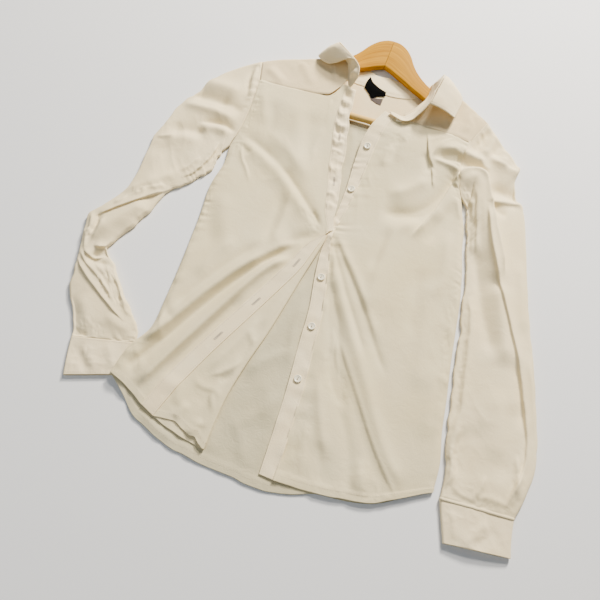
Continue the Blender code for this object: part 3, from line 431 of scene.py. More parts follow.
def cloth(name, node, middle, thickness, material, closed=False):
    """A fine cloth wall in place of a CAD node. Thickness may be one number or a grid of them."""
    normal = grid_normals(middle, closed)
    rows, columns = middle.shape[:2]
    half = np.broadcast_to(np.asarray(thickness, float) / 2, (rows, columns))[..., None]
    one_side = rows * columns
    runs = np.arange(columns if closed else columns - 1)
    i, j = np.meshgrid(np.arange(rows - 1), runs, indexing="ij")
    a = (i * columns + j).ravel()
    b = (i * columns + (j + 1) % columns).ravel()
    outer = np.stack([a, b, b + columns, a + columns], axis=1)
    faces = [outer, outer[:, [0, 3, 2, 1]] + one_side]
    for row in (0, rows - 1):
        a = row * columns + runs
        b = row * columns + (runs + 1) % columns
        rim = np.stack([a, a + one_side, b + one_side, b], axis=1)
        faces.append(rim if row == 0 else rim[:, ::-1])
    for column in () if closed else (0, columns - 1):
        a = np.arange(rows - 1) * columns + column
        rim = np.stack([a, a + columns, a + columns + one_side, a + one_side], axis=1)
        faces.append(rim if column == 0 else rim[:, ::-1])
    vertices = np.concatenate([middle + normal * half, middle - normal * half]).reshape(-1, 3)
    u = measured(middle, 1)
    uv = np.stack([u.ravel(), (measured(middle, 0) + 0 * u).ravel()], axis=1) * MM
    faces = np.concatenate(faces).tolist()
    piece = make_mesh(name, vertices, faces, material, np.concatenate([uv, uv]))
    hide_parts(node)
    GRIDS[name] = (middle, normal, half[..., 0])
    corners = np.cross(np.diff(middle[:, :-1], axis=0), np.diff(middle[:-1], axis=1))
    area = float(np.linalg.norm(corners, axis=2).sum()) * MM * MM
    print(name, "area in square metres", round(area, 4), "faces", len(piece.data.polygons))
    return piece


# %% [markdown]
# A finish is a small tree of shader nodes. These helpers add a node, set its numbers and link its
# inputs in one line each, which keeps the finishes below easy to read.

# %% Node helpers


def new_group(name, inputs, outputs):
    """An empty shader group with float inputs (name, value) and named float outputs."""
    group = bpy.data.node_groups.new(name, "ShaderNodeTree")
    for label, value in inputs:
        made = group.interface.new_socket(label, in_out="INPUT", socket_type="NodeSocketFloat")
        made.default_value = value
    for label in outputs:
        group.interface.new_socket(label, in_out="OUTPUT", socket_type="NodeSocketFloat")
    return group, group.nodes.new("NodeGroupInput"), group.nodes.new("NodeGroupOutput")


def feed(tree, value, socket):
    """Puts a number, or the link from another node's output, into an input socket."""
    if isinstance(value, (int, float)):
        socket.default_value = value
    else:
        tree.links.new(value, socket)


def math_node(tree, operation, *operands):
    """A Math node whose operands are sockets or numbers. Gives its output socket."""
    node = tree.nodes.new("ShaderNodeMath")
    node.operation = operation
    for index, value in enumerate(operands):
        feed(tree, value, node.inputs[index])
    return node.outputs[0]


def noise_node(tree, vector, scale, detail=2.0, roughness=0.5, distortion=0.0):
    """A noise texture's value. Its scale is a number or a socket."""
    node = tree.nodes.new("ShaderNodeTexNoise")
    named = zip(("Vector", "Scale", "Detail", "Roughness", "Distortion"),
                (vector, scale, detail, roughness, distortion))
    for label, value in named:
        feed(tree, value, node.inputs[label])
    return node.outputs["Fac"]


def stretched(tree, place, stretch):
    """The cloth map's coordinates, scaled by a number for each direction."""
    mapped = tree.nodes.new("ShaderNodeMapping")
    mapped.inputs["Scale"].default_value = stretch
    tree.links.new(place.outputs["UV"], mapped.inputs["Vector"])
    return mapped.outputs[0]

# %% [markdown]
# The cotton is a plain weave, worn soft. One shader group makes its threads, another the faint
# crumpling that is too fine for the mesh. Both only put out values, and each material mixes them in
# its own measure.

# %% Weave and rumple


def make_weave_group():
    """Plain weave: threads over and under each other, some thicker than others."""
    group, given, result = new_group(
        "Plain weave", [("Threads per metre", 1900.0), ("Slub", 0.4)], ["Height", "Shade"])
    place = group.nodes.new("ShaderNodeTexCoord")
    split = group.nodes.new("ShaderNodeSeparateXYZ")
    group.links.new(place.outputs["UV"], split.inputs[0])
    waves = []
    for axis in ("X", "Y"):
        turned = math_node(group, "MULTIPLY", split.outputs[axis], given.outputs["Threads per metre"])
        waves.append(math_node(group, "SINE", math_node(group, "MULTIPLY", turned, math.pi)))
    over = math_node(group, "MULTIPLY", waves[0], waves[1])
    slubs = [noise_node(group, stretched(group, place, stretch), 1.0, 2.0, 0.6)
             for stretch in ((60, 900, 1), (900, 60, 1))]
    slub = math_node(group, "SUBTRACT", math_node(group, "ADD", slubs[0], slubs[1]), 1.0)
    slub = math_node(group, "MULTIPLY", slub, given.outputs["Slub"])
    height = math_node(group, "ADD", math_node(group, "MULTIPLY", over, 0.5), slub)
    group.links.new(height, result.inputs["Height"])
    group.links.new(slub, result.inputs["Shade"])
    return group


def make_rumple_group():
    """Faint crumpling: broad soft swells and fine sharp-edged wrinkles."""
    group, given, result = new_group("Rumple", [("Size", 0.03), ("Sharp", 0.5)], ["Height", "Patch"])
    place = group.nodes.new("ShaderNodeTexCoord")
    scale = math_node(group, "DIVIDE", 1.0, given.outputs["Size"])
    soft = noise_node(group, place.outputs["Object"], scale, 3.0, 0.55, 0.6)
    fine_scale = math_node(group, "MULTIPLY", scale, 2.6)
    fine = noise_node(group, place.outputs["Object"], fine_scale, 3.0, 0.5, 1.2)
    crest = math_node(group, "ABSOLUTE", math_node(group, "SUBTRACT", fine, 0.5))
    crest = math_node(group, "SUBTRACT", 0.3, math_node(group, "POWER", crest, 0.7))
    crest = math_node(group, "MULTIPLY", crest, given.outputs["Sharp"])
    group.links.new(math_node(group, "ADD", soft, crest), result.inputs["Height"])
    wide_scale = math_node(group, "MULTIPLY", scale, 0.3)
    group.links.new(noise_node(group, place.outputs["Object"], wide_scale, 2.0), result.inputs["Patch"])
    return group


WEAVE = make_weave_group()
RUMPLE = make_rumple_group()
print("shader groups", [g.name for g in bpy.data.node_groups])

# %% [markdown]
# Cotton is matt, with a slight sheen at grazing angles from its loose fibres. The colour drifts a
# little between cleaner and yellower patches.

# %% Cotton
WEAVE_DEPTH = 0.00012


def set_inputs(node, values):
    """Sets a node's inputs by name, with underscores for the spaces."""
    for label, value in values.items():
        node.inputs[label.replace("_", " ")].default_value = value


def use_group(tree, group, **values):
    """A shader group placed in a material with its own values."""
    node = tree.nodes.new("ShaderNodeGroup")
    node.node_tree = group
    set_inputs(node, values)
    return node


def new_finish(name, **values):
    """A new material, its node tree and its Principled shader with the values set on it."""
    made = bpy.data.materials.new(name)
    made.use_nodes = True
    shader = made.node_tree.nodes["Principled BSDF"]
    set_inputs(shader, values)
    return made, made.node_tree, shader


def mix_colours(tree, factor, first, second):
    """A Mix node between two colours, by a value from 0 to 1."""
    node = tree.nodes.new("ShaderNodeMix")
    node.data_type = "RGBA"
    node.clamp_factor = True
    tree.links.new(factor, node.inputs[0])
    node.inputs[6].default_value = (*first, 1)
    node.inputs[7].default_value = (*second, 1)
    return node.outputs[2]


def bump_node(tree, height, **values):
    """A Bump node fed with a height. Gives its normal."""
    node = tree.nodes.new("ShaderNodeBump")
    set_inputs(node, values)
    tree.links.new(height, node.inputs["Height"])
    return node.outputs[0]


def cotton(name, clean, worn, rumple_size=0.026, rumple_depth=0.0011):
    """Woven cotton with its own two colours, from clean to worn."""
    made, tree, shader = new_finish(name, Sheen_Weight=0.12, Sheen_Roughness=0.45, Specular_IOR_Level=0.12)
    weave = use_group(tree, WEAVE)
    crumple = use_group(tree, RUMPLE, Size=rumple_size)
    patch = math_node(tree, "MULTIPLY_ADD", crumple.outputs["Patch"], 2.4, -0.7)
    patch = math_node(tree, "ADD", patch, math_node(tree, "MULTIPLY", weave.outputs["Shade"], 0.5))
    tree.links.new(mix_colours(tree, patch, clean, worn), shader.inputs["Base Color"])
    rough = math_node(tree, "MULTIPLY_ADD", weave.outputs["Shade"], 0.1, 0.88)
    tree.links.new(rough, shader.inputs["Roughness"])
    soft = bump_node(tree, crumple.outputs["Height"], Distance=rumple_depth, Strength=0.55)
    threads = bump_node(tree, weave.outputs["Height"], Distance=WEAVE_DEPTH, Strength=0.5)
    tree.links.new(soft, threads.node.inputs["Normal"])
    tree.links.new(threads, shader.inputs["Normal"])
    return made


def thread_finish(name, colour, roughness=0.6):
    """Twisted thread, mottled by fine noise with a darker tone that is painted shade for its hollows."""
    made, tree, shader = new_finish(name, Sheen_Weight=0.3)
    place = tree.nodes.new("ShaderNodeTexCoord")
    grain = noise_node(tree, place.outputs["Object"], 900.0, 2.0)
    twist_shade = tuple(c * 0.8 for c in colour)
    tree.links.new(mix_colours(tree, grain, twist_shade, colour), shader.inputs["Base Color"])
    rough = math_node(tree, "MULTIPLY_ADD", grain, 0.2, roughness - 0.1)
    tree.links.new(rough, shader.inputs["Roughness"])
    return made


FRONT_COTTON = cotton("Cream cotton", (0.79, 0.68, 0.425), (0.75, 0.63, 0.365))
# The back is the same cloth, drawn darker and greyer: painted shade, where it lies under the fronts.
BACK_COTTON_PAINTED_SHADE = cotton("Cream cotton, shaded back", (0.61, 0.542, 0.35), (0.57, 0.497, 0.305),
                     rumple_depth=0.0016)
YOKE_COTTON = cotton("Cream cotton, double", (0.80, 0.645, 0.39), (0.76, 0.60, 0.34))
# The sleeves are the same cloth as the fronts, drawn lighter: painted light, for the light they catch.
SLEEVE_COTTON_PAINTED_LIGHT = cotton("Cream cotton, sleeves, painted lighter", (0.88, 0.745, 0.47), (0.84, 0.695, 0.415))
# The bands are lighter than the panels: partly their doubled cloth, partly painted light.
BAND_COTTON_DOUBLED_PAINTED_LIGHT = cotton("Cream cotton, stitched band, doubled and painted lighter", (0.925, 0.78, 0.50), (0.885, 0.725, 0.44),
                     rumple_size=0.012, rumple_depth=0.0008)
# The thread is darker than the cloth: partly its own tone, partly painted shade along the seams.
THREAD_AND_SEAM_SHADE = thread_finish("Sewing thread, darkened as seam shade", (0.60, 0.50, 0.36))
# The slit's dark colour is painted shade.
SLIT_PAINTED_SHADE = thread_finish("Buttonhole slit, painted shade", (0.36, 0.29, 0.19), 0.9)
print("materials", [m.name for m in bpy.data.materials])

# %% [markdown]
# The back lies flat on the floor. Most of it is hidden under the fronts, but it shows through the
# open front and past the hem, so it gets its own slight creases.

# %% Back


def hem_band(down_mm, width=9.0):
    """Extra thickness of a double-folded hem, by distance from the edge."""
    return 0.8 * (1 - smooth(width - 0.9, width + 0.3, down_mm))


def row_fine(count, crowd_start=0.0, crowd_end=0.0):
    """Places from 0 to 1 with closer rows towards the ends that ask for them."""
    even = np.linspace(0, 1, count)
    start = even ** (1 + crowd_start)
    end = 1 - (1 - even) ** (1 + crowd_end)
    return start * (1 - even) + end * even


BACK_CREASES = (
    # height, width, sharp, lean, points
    (1.6, 9, 0.2, 0, (0, 40), (-6, 0), (-12, -40), (-24, -90), (-32, -140)),
    (1.6, 8, 0.4, 0, (8, 10), (6, -40), (14, -76), (20, -110)),
    (1.4, 7, 0.4, 0, (22, -70), (6, -84), (-16, -104), (-34, -132)),
    (1.2, 9, 0.3, 0, (26, -130), (12, -160), (-6, -186), (-30, -204)),
    (1.2, 10, 0.5, 0, (-30, -190), (-5, -215), (10, -250)),
    (0.9, 9, 0.4, 0, (-60, -200), (-45, -222), (-38, -250)),
    (0.9, 12, 0.3, 0, (-10, -120), (8, -150), (22, -190)),
    (0.8, 10, 0.3, 0, (-46, 350), (-20, 342), (6, 352)),
    (1.4, 10, 0.2, 0, (-72, 320), (-40, 319), (-10, 319), (24, 320), (44, 323)),
    (0.9, 8, 0.4, 0, (-32, 318), (-14, 290), (-8, 240)),
    (1.0, 9, 0.4, 0, (-150, -222), (-120, -238), (-80, -246)),
)
BACK_ROWS = 160
BACK_COLUMNS = 126
BACK_MIDDLE_Z = 0.45
BODY_LENGTH = 560


def draw_back():
    """The back panel, with the dip of its seam under the yoke and its curved hem."""
    down = row_fine(BACK_ROWS, 0, 0.3)[:, None]
    across = np.linspace(0, 1, BACK_COLUMNS)[None, :]
    right_x, right_y = side_edge("right", down)
    left_x, left_y = side_edge("left", down)
    sag_x, sag_y = edge_bow(BACK_HEM, across, down ** HEM_REACH)
    x = right_x + (left_x - right_x) * across + sag_x
    dip = -11.2 * np.sin(math.pi * across) * (1 - smooth(0, 0.12, down))
    y = right_y + (left_y - right_y) * across + sag_y + dip
    relief = relief_of(x, y, BACK_CREASES)
    room = smooth(0, 0.06, across) * smooth(0, 0.06, 1 - across) * smooth(0, 0.05, down)
    creased = np.maximum(relief.z + 0.5 * rumple(x, y, 11) + 0.4, 0) * room
    from_hem = (1 - down) * BODY_LENGTH + 0 * x
    z = BACK_MIDDLE_Z + corner_lift(x, down) + creased
    z = z + pucker(x, from_hem, 0.8, 14, 31, 9) * smooth(0, 0.05, across) * smooth(0, 0.05, 1 - across)
    z = np.maximum(z, BACK_MIDDLE_Z)
    y = y + 1.2 * uneven(x, 0 * x, 22, 77) * smooth(30, 0, from_hem)
    thick = CLOTH + hem_band(from_hem)
    middle = tuck(np.stack([x, y, z + (thick - CLOTH) / 2], axis=2), "first row")
    thick = np.pad(thick, ((TUCK_ROWS, 0), (0, 0)), mode="edge")
    piece = cloth("back_panel", "back", middle, thick, BACK_COTTON_PAINTED_SHADE)


draw_back()

# %% [markdown]
# The wearer's right front has no button done up below the third one, so its edge has flopped back on
# itself like a lapel and shows its wrong side. First come the places and heights of its rows, from
# the yoke to the hem, and its creases, each set where the real one is.

# %% Right front
RIGHT_FRONT = table(
    "side_z near_z half_z far_z fold_z fold_x fold_y radius turn strip strip_y",
    (15.2, 15.2, 15.3, 15.4, 15.4, -63, 376, 2.0, 0, 6, 0),
    (14.6, 15.0, 15.2, 15.2, 15.0, -60, 322, 2.0, 0, 6, 0),
    (11.6, 12.2, 12.8, 12.4, 11.6, -55, 288, 2.0, 0, 6, 0),
    (9.0, 9.8, 10.4, 10.2, 9.6, -48, 260, 2.0, 0, 6, 0),
    (7.0, 8.4, 9.2, 9.0, 8.4, -43, 235, 2.0, 0, 6, 0),
    (4.4, 7.4, 8.4, 8.6, 8.0, -37, 212, 2.0, 0, 6, 0),
    (2.0, 6.8, 7.8, 8.2, 8.0, -28, 180, 2.0, 0, 6, 0),
    (2.0, 6.8, 7.8, 8.0, 8.0, -20, 148, 2.0, 0, 6, 0),
    (2.0, 6.8, 7.8, 7.8, 7.0, -5, 122, 1.8, 10, 4, 0),
    (2.0, 6.8, 7.4, 7.0, 5.8, 1, 104, 1.6, 138, 3, 0),
    (2.0, 6.6, 7.0, 6.4, 4.8, -2.5, 78, 2.0, 176, 3, 0),
    (2.0, 6.4, 6.4, 5.2, 3.4, -9.5, 40, 2.2, 180, 6, 0),
    (2.0, 6.2, 5.8, 4.2, 2.9, -17.5, -10, 2.2, 180, 20, 0),
    (2.0, 6.0, 5.0, 3.7, 2.7, -26.5, -65, 2.2, 180, 36, 0),
    (2.0, 5.8, 4.2, 3.3, 2.6, -38.5, -120, 2.2, 180, 49, 0),
    (2.0, 5.4, 3.8, 3.1, 2.6, -46.5, -175, 2.2, 180, 63, 0),
    (2.0, 4.4, 3.4, 3.0, 2.6, -47.5, -243, 2.0, 180, 78, 17),
)
RIGHT_FRONT_CREASES = (
    # height, width, sharp, lean, points
    (-2.6, 9, 0.1, 0, (-186, 240), (-150, 224), (-120, 209), (-95, 192)),
    (-2.8, 7, 0.3, 0, (-112, 205), (-84, 184), (-60, 164), (-40, 147), (-22, 131), (-4, 116)),
    (2.4, 11, 0.1, 0, (-190, 226), (-150, 212), (-116, 194), (-86, 172), (-58, 148), (-30, 122)),
    (1.4, 12, 0.2, 0, (-160, 262), (-120, 240), (-84, 216), (-50, 186)),
    (-2.4, 9, 0.1, 0, (-4, 108), (-36, 90), (-62, 60), (-84, 28)),
    (6.2, 26, 0.93, 0, (-184, -142), (-177, -129), (-168, -114), (-148, -74), (-134, -46), (-118, -18),
     (-102, 8), (-82, 34), (-60, 62), (-36, 88)),
    (-3.4, 7, 0.3, 0, (-30, 84), (-54, 56), (-72, 34), (-90, 6), (-106, -20), (-120, -46), (-134, -72),
     (-146, -98), (-162, -130), (-178, -160), (-192, -184)),
    (5.0, 13, 0.75, 0, (-166, -200), (-147, -156), (-129, -114), (-111, -74), (-93, -34), (-75, 4),
     (-57, 34), (-34, 60)),
    (-2.6, 8, 0.2, 0, (-84, 66), (-112, 24), (-132, -10), (-152, -46), (-166, -80)),
    (1.9, 10, 0.2, 0, (-120, 60), (-142, 20), (-156, -24)),
    (-2.2, 9, 0.2, 0, (-76, -20), (-92, -58), (-108, -96), (-124, -140), (-134, -176)),
    (2.0, 9, 0.3, 0, (-72, 176), (-70, 140), (-68, 100), (-69, 60)),
    (-1.4, 9, 0.2, 0, (-84, 160), (-82, 110), (-80, 66)),
    (1.4, 16, 0.1, 0, (-166, 130), (-158, 90), (-138, 56), (-120, 30)),
    (-1.4, 16, 0.1, 0, (-186, 120), (-176, 80), (-160, 50), (-140, 30)),
    (1.3, 4, 0.8, 1.0, (-138, 154), (-154, 178), (-166, 192), (-173, 206), (-178, 222)),
    (-1.4, 6, 0.2, 0, (-182, 218), (-170, 212), (-158, 202)),
    (1.3, 16, 0.2, 0, (-120, 330), (-105, 280), (-88, 230), (-78, 190)),
    (-1.2, 14, 0.2, 0, (-96, 320), (-84, 270), (-72, 220)),
    (-1.4, 12, 0.2, 0, (-160, 320), (-146, 270), (-140, 230)),
    (1.2, 9, 0.4, 0, (-186, 330), (-170, 300), (-158, 262)),
    (0.9, 8, 0.4, 0, (-60, 300), (-68, 260), (-60, 220)),
    (-1.2, 7, 0.3, 0, (-190, -60), (-170, -84), (-150, -96)),
    (1.0, 6, 0.5, 0, (-186, -84), (-172, -100), (-158, -130)),
    (0.8, 6, 0.5, 0, (-196, -146), (-178, -158), (-166, -176)),
    (-0.8, 6, 0.2, 0, (-198, -164), (-182, -174), (-172, -190)),
)
RIGHT_FRONT_PATCHES = (
    # middle x and y, reach along and across, turn in degrees, crinkle size, height
    (-186, 260, 60, 8, 92, 8, 0.8), (-192, -140, 44, 9, 70, 8, 0.6), (-188, 60, 90, 7, 92, 9, 0.7),
    (-62, 330, 44, 10, 105, 8, 0.9), (-30, 130, 30, 12, 130, 8, 0.7),
)
FLAP_CREASES = (
    # height, width, sharp, lean, points, which are read on the turned-back strip from above
    (1.6, 8, 0.3, 0, (-40, -40), (-56, -84), (-72, -120), (-86, -150)),
    (-1.2, 7, 0.2, 0, (-34, -44), (-44, -90), (-50, -120)),
    (1.5, 6, 0.6, 0.6, (-80, -150), (-66, -142), (-52, -130), (-38, -112)),
    (-1.6, 6, 0.2, 0, (-66, -150), (-54, -146), (-42, -136)),
    (1.2, 6, 0.5, 0, (-98, -150), (-92, -160), (-80, -167), (-64, -166), (-52, -172), (-46, -184),
     (-43, -198)),
    (-1.4, 7, 0.2, 0, (-92, -174), (-76, -178), (-62, -180)),
    (1.5, 6, 0.6, 0, (-68, -168), (-58, -184), (-46, -200)),
    (1.3, 6, 0.5, 0, (-52, -66), (-44, -78), (-34, -88), (-30, -98)),
    (1.6, 8, 0.3, 0, (-104, -222), (-94, -208), (-88, -192)),
    (1.5, 7, 0.3, 0, (-74, -236), (-66, -220), (-64, -206)),
    (-1.4, 7, 0.2, 0, (-60, -240), (-56, -226), (-58, -212)),
    (1.2, 8, 0.3, 0, (-116, -160), (-108, -184), (-102, -206)),
)

# %% [markdown]
# One section is drawn for each row: the lower layer, a tight turn, and the strip that lies back on
# top of it. A fold modelled like this stays one piece of cloth, where two sheets laid on each other
# would show a gap along the fold.

# %% Draw the right front
FINE_ROWS = 256
LOWER_COLUMNS = 112
TURN_COLUMNS = 12
STRIP_COLUMNS = 32
FLAP_HEM = ((0, 0.1, 0.2, 0.28, 0.43, 0.62, 0.8, 1), (0, 3, 8, 5.5, 7, 9.5, 5.5, 0))
LAYER_GAP = 1.3
PRESSED = 0.3
FRONT_GAP = 0.55
HANGER_RISE = 12.7
RIGHT_LENGTH = 545
SIDE_LENGTH = 540


def clear_of_hanger(z, down, from_side):
    """Heights of a front panel, kept above the back and, near the top, above the hanger's arm."""
    over_hanger = smooth(0.16, 0.05, down)
    floor = BACK_TOP + FRONT_GAP + HANGER_RISE * over_hanger * smooth(0, 10, from_side)
    return kept_above(floor, z)


def right_lower(down, across):
    """Lower layer of the right front with its creases, from the side to the fold."""
    t = RIGHT_FRONT
    side_x, side_y = side_edge("right", down)
    sag_x, sag_y = edge_bow(RIGHT_FRONT_HEM, across, down ** HEM_REACH)
    top_x, top_y = edge_bow(RIGHT_TOP, across, (1 - down) ** TOP_REACH)
    x = side_x + (along(t["fold_x"], down) - side_x) * across + sag_x + top_x
    y = side_y + (along(t["fold_y"], down) - side_y) * across + sag_y + top_y
    names = ("near_z", "near_z", "half_z", "far_z", "fold_z")
    plateau = across_heights([along(t[name], down) for name in names], across)
    relief = relief_of(x, y, RIGHT_FRONT_CREASES)
    from_hem = (1 - down) * RIGHT_LENGTH
    from_side = x - side_x
    room = smooth(0, 9, from_side) * smooth(0, 12, along(t["fold_x"], down) - x)
    bumps = relief.z * (0.25 + 0.75 * smooth(0, 0.13, down)) + 1.3 * rumple(x, y, 21, 34)
    bumps = (bumps + crinkled(x, y, RIGHT_FRONT_PATCHES, 121)) * room
    bumps = bumps + pucker(down * SIDE_LENGTH + 0 * x, from_side, 1.7, 9, 41, 7) * smooth(0, 4, from_side)
    bumps = bumps + pucker(x, from_hem + 0 * x, 1.3, 16, 43, 10) * smooth(0, 8, from_side)
    side_z = along(t["side_z"], down)
    z = side_z + (plateau - side_z) * round_edge(from_side) + bumps
    return x, y, clear_of_hanger(z, down, from_side) + corner_lift(x, down)


def pinched(turn):
    """How much the strip is gathered where it stands on edge at the twist, 0 to 1."""
    return np.exp(-((np.degrees(turn) - 85) / 45) ** 2)


def laid_down(turn):
    """How far the strip lies back on the lower layer, 0 to 1, by how far it has turned over."""
    return smooth(150, 176, np.degrees(turn))


def lie_on(points, x, z, gap, laid):
    """Heights of the points, lifted where needed to lie on the lower layer's rows."""
    under = np.stack([np.interp(points[row, :, 0], x[row], z[row]) for row in range(len(x))]) + gap
    return points[..., 2] + (kept_above(under, points[..., 2]) - points[..., 2]) * laid


def draw_right_front():
    """The right front: its lower layer, the tight turn and the strip that lies back on it."""
    t = RIGHT_FRONT
    down = row_fine(FINE_ROWS, 0.1, 0.2)[:, None]
    lower = row_fine(LOWER_COLUMNS, 0.5, 0.0)[None, :]
    x, y, z = right_lower(down, lower)
    turn = np.radians(along(t["turn"], down))
    radius = along(t["radius"], down)
    strip = along(t["strip"], down) * (1 - 0.6 * pinched(turn))
    strip_y = along(t["strip_y"], down)
    arc = radius * turn
    sharp = smooth(0, 3, arc)
    start = np.stack([x[:, -1:], y[:, -1:], z[:, -1:]], axis=2)
    columns = [np.stack([x, y, z], axis=2)]
    count = TURN_COLUMNS + STRIP_COLUMNS
    for number in range(1, count + 1):
        even = (arc + strip) * number / count
        tight = arc * min(number / TURN_COLUMNS, 1) + strip * max(number - TURN_COLUMNS, 0) / STRIP_COLUMNS
        run = even + (tight - even) * sharp
        angle = np.minimum(run / radius, turn)
        beyond = np.maximum(run - arc, 0)
        share = beyond / strip
        hem = np.clip(down, 0, 1) ** 9 * np.interp(share, *FLAP_HEM)
        offset = np.stack([radius * np.sin(angle) + beyond * np.cos(turn),
                           strip_y * share + hem,
                           radius * (1 - np.cos(angle)) + PRESSED * beyond * np.sin(turn)], axis=2)
        columns.append(start + offset)
    middle = np.concatenate(columns, axis=1)
    flap = slice(LOWER_COLUMNS + TURN_COLUMNS, None)
    fx = middle[:, flap, 0]
    fy = middle[:, flap, 1]
    relief = relief_of(fx, fy, FLAP_CREASES)
    share = np.linspace(0, 1, STRIP_COLUMNS)[None, :]
    wide = smooth(6, 18, strip)
    lift = (relief.z + 1.0 * rumple(fx, fy, 25, 22) + 0.4) * smooth(0, 0.15, share) * wide
    from_hem = (1 - down) * RIGHT_LENGTH + 0 * fx
    lift = lift + pucker(fx, from_hem, 1.6, 15, 47, 9) * wide
    laid = laid_down(turn)
    middle[:, flap, 2] -= laid * (2 * radius - LAYER_GAP) * smooth(3, 24, share * strip)
    middle[:, flap, 2] += lift
    middle[:, flap, 2] = lie_on(middle[:, flap], x, z, LAYER_GAP, laid)
    for number in range(middle.shape[1] - 1):
        middle[:, number, 1] += 0.9 * uneven(middle[:, number, 0], 0, 16, 78) * smooth(0.95, 1.0, down[:, 0])
    from_hem = (1 - down) * RIGHT_LENGTH + np.zeros(middle.shape[:2])
    thick = np.pad(CLOTH + hem_band(from_hem), ((TUCK_ROWS, 0), (0, TUCK_ROWS)), mode="edge")
    flap_edge = middle[:, -1]
    middle = tuck(tuck(middle, "first row", length=5), "last column")
    piece = cloth("right_front_panel", "right_front", middle, thick, FRONT_COTTON)
    return flap_edge, turn[:, 0], down[:, 0], x, z


flap_seam, flap_turn, flap_down, lower_x, lower_z = draw_right_front()

# %% [markdown]
# The buttonhole placket is a doubled, stitched band. It follows the strip's edge, so above the one
# fastened button it lies right side up, and below it it is turned over with the flap.

# %% Right placket
RIGHT_PLACKET_WIDTH = (18, 23, 25, 25, 24, 23, 21, 17, 10, 9, 18, 23, 24, 24.5, 24.5, 24, 22)
RIGHT_PLACKET_DROP = (0, 0, 0.5, 1.0, 1.5, 2.0, 2.0, 1.0, 0, 0, 0, 0.5, 0.6, 0.6, 0.5, 0.5, 0.5)
PLACKET_WIDTH = 24
STITCH_INSET = 2.6
SEAM = 0.35
PLACKET_COLUMNS = 22
PLACKET_CREASES = (
    # height, width, sharp, lean, points
    (3.0, 5, 0.6, 1.0, (-38, 374), (-48, 372), (-58, 382)),
    (-2.0, 4, 0.3, 0, (-58, 368), (-48, 360), (-38, 362)),
    (2.6, 5, 0.7, 1.0, (-36, 350), (-46, 346), (-60, 354)),
    (-1.8, 4, 0.3, 0, (-58, 342), (-46, 336), (-36, 340)),
    (2.2, 5, 0.6, 0.8, (-34, 330), (-46, 322), (-60, 336)),
    (2.0, 5, 0.6, 0.8, (-30, 306), (-42, 300), (-54, 312)),
    (-1.6, 4, 0.3, 0, (-52, 296), (-40, 290), (-28, 294)),
    (1.8, 5, 0.5, 0, (-24, 276), (-38, 270), (-48, 278)),
    (1.5, 5, 0.5, 0, (-20, 252), (-32, 256), (-44, 252)),
    (1.5, 5, 0.5, 0, (-16, 228), (-28, 222), (-38, 230)),
    (-1.2, 5, 0.3, 0, (-34, 206), (-22, 202), (-10, 206)),
    (1.8, 5, 0.6, 0.6, (-4, 176), (-16, 180), (-26, 172)),
    (1.5, 5, 0.5, 0, (-2, 156), (-12, 162), (-20, 152)),
)
PLACKET_PATCHES = (
    # middle x and y, reach along and across, turn in degrees, crinkle size, height
    (-50, 350, 40, 16, 100, 9, 0.9), (-42, 290, 40, 12, 105, 9, 0.7), (-24, 220, 60, 10, 105, 9, 0.6),
    (-8, 160, 30, 10, 100, 9, 0.6),
)


def stitched_band(share, shape):
    """Thickness of a placket, which is thinner along the line of stitches near either edge."""
    first = np.exp(-((share * PLACKET_WIDTH - STITCH_INSET) / 1.0) ** 2)
    second = np.exp(-(((1 - share) * PLACKET_WIDTH - STITCH_INSET) / 1.0) ** 2)
    return np.full(shape, BAND) - 0.45 * (first + second)


def draw_right_placket():
    """The buttonhole placket, from the strip's edge to its own free edge."""
    width = along(RIGHT_PLACKET_WIDTH, flap_down) * (1 - 0.84 * pinched(flap_turn))
    drop = along(RIGHT_PLACKET_DROP, flap_down)
    direction = np.stack([np.cos(flap_turn), 0 * flap_turn, PRESSED * np.sin(flap_turn)], axis=1)
    gap = SEAM + 0.5 * laid_down(flap_turn)
    columns = []
    for share in np.linspace(0, 1, PLACKET_COLUMNS):
        point = flap_seam + direction * (gap + (width - gap) * share)[:, None]
        point[:, 2] -= drop * share
        point[:, 1] += 9 * share * flap_down ** 9
        columns.append(point)
    middle = np.stack(columns, axis=1)
    share = np.linspace(0, 1, PLACKET_COLUMNS)[None, :]
    loose = smooth(0.46, 0.36, flap_down)[:, None] * share
    middle[..., 0] += 1.8 * uneven(middle[..., 1], 0, 19, 191) * loose
    x = middle[..., 0]
    y = middle[..., 1]
    relief = relief_of(x, y, PLACKET_CREASES)
    run = flap_down[:, None] * BODY_LENGTH + 0 * x
    bumps = relief.z + pucker(run, 0 * x, 0.9, 60, 52, 9)
    bumps = bumps + pucker(run, (1 - share) * 20, 0.9, 12, 53, 7) + crinkled(x, y, PLACKET_PATCHES, 181)
    away = 1 - smooth(0.42, 0.5, flap_down) * smooth(0.64, 0.58, flap_down)
    middle[..., 2] += bumps * away[:, None] * smooth(0, 0.2, share)
    laid = laid_down(flap_turn)[:, None]
    rims = np.exp(-(share * PLACKET_WIDTH / 1.5) ** 2)
    rims = rims + 0.8 * np.exp(-((1 - share) * PLACKET_WIDTH / 1.5) ** 2)
    middle[..., 2] += laid * (0.4 + 0.8 * rims)
    middle[..., 2] = lie_on(middle, lower_x, lower_z, LAYER_GAP + 0.3, laid)
    thick = stitched_band(share, x.shape)
    piece = cloth("right_placket_band", "right_placket", middle, thick, BAND_COTTON_DOUBLED_PAINTED_LIGHT)


draw_right_placket()

# %% [markdown]
# The wearer's left front lies right side up. Its creases run from the fastened button down to the
# hem, and a nest of short crisp ones lies below the collar point, where the sleeve pulls.

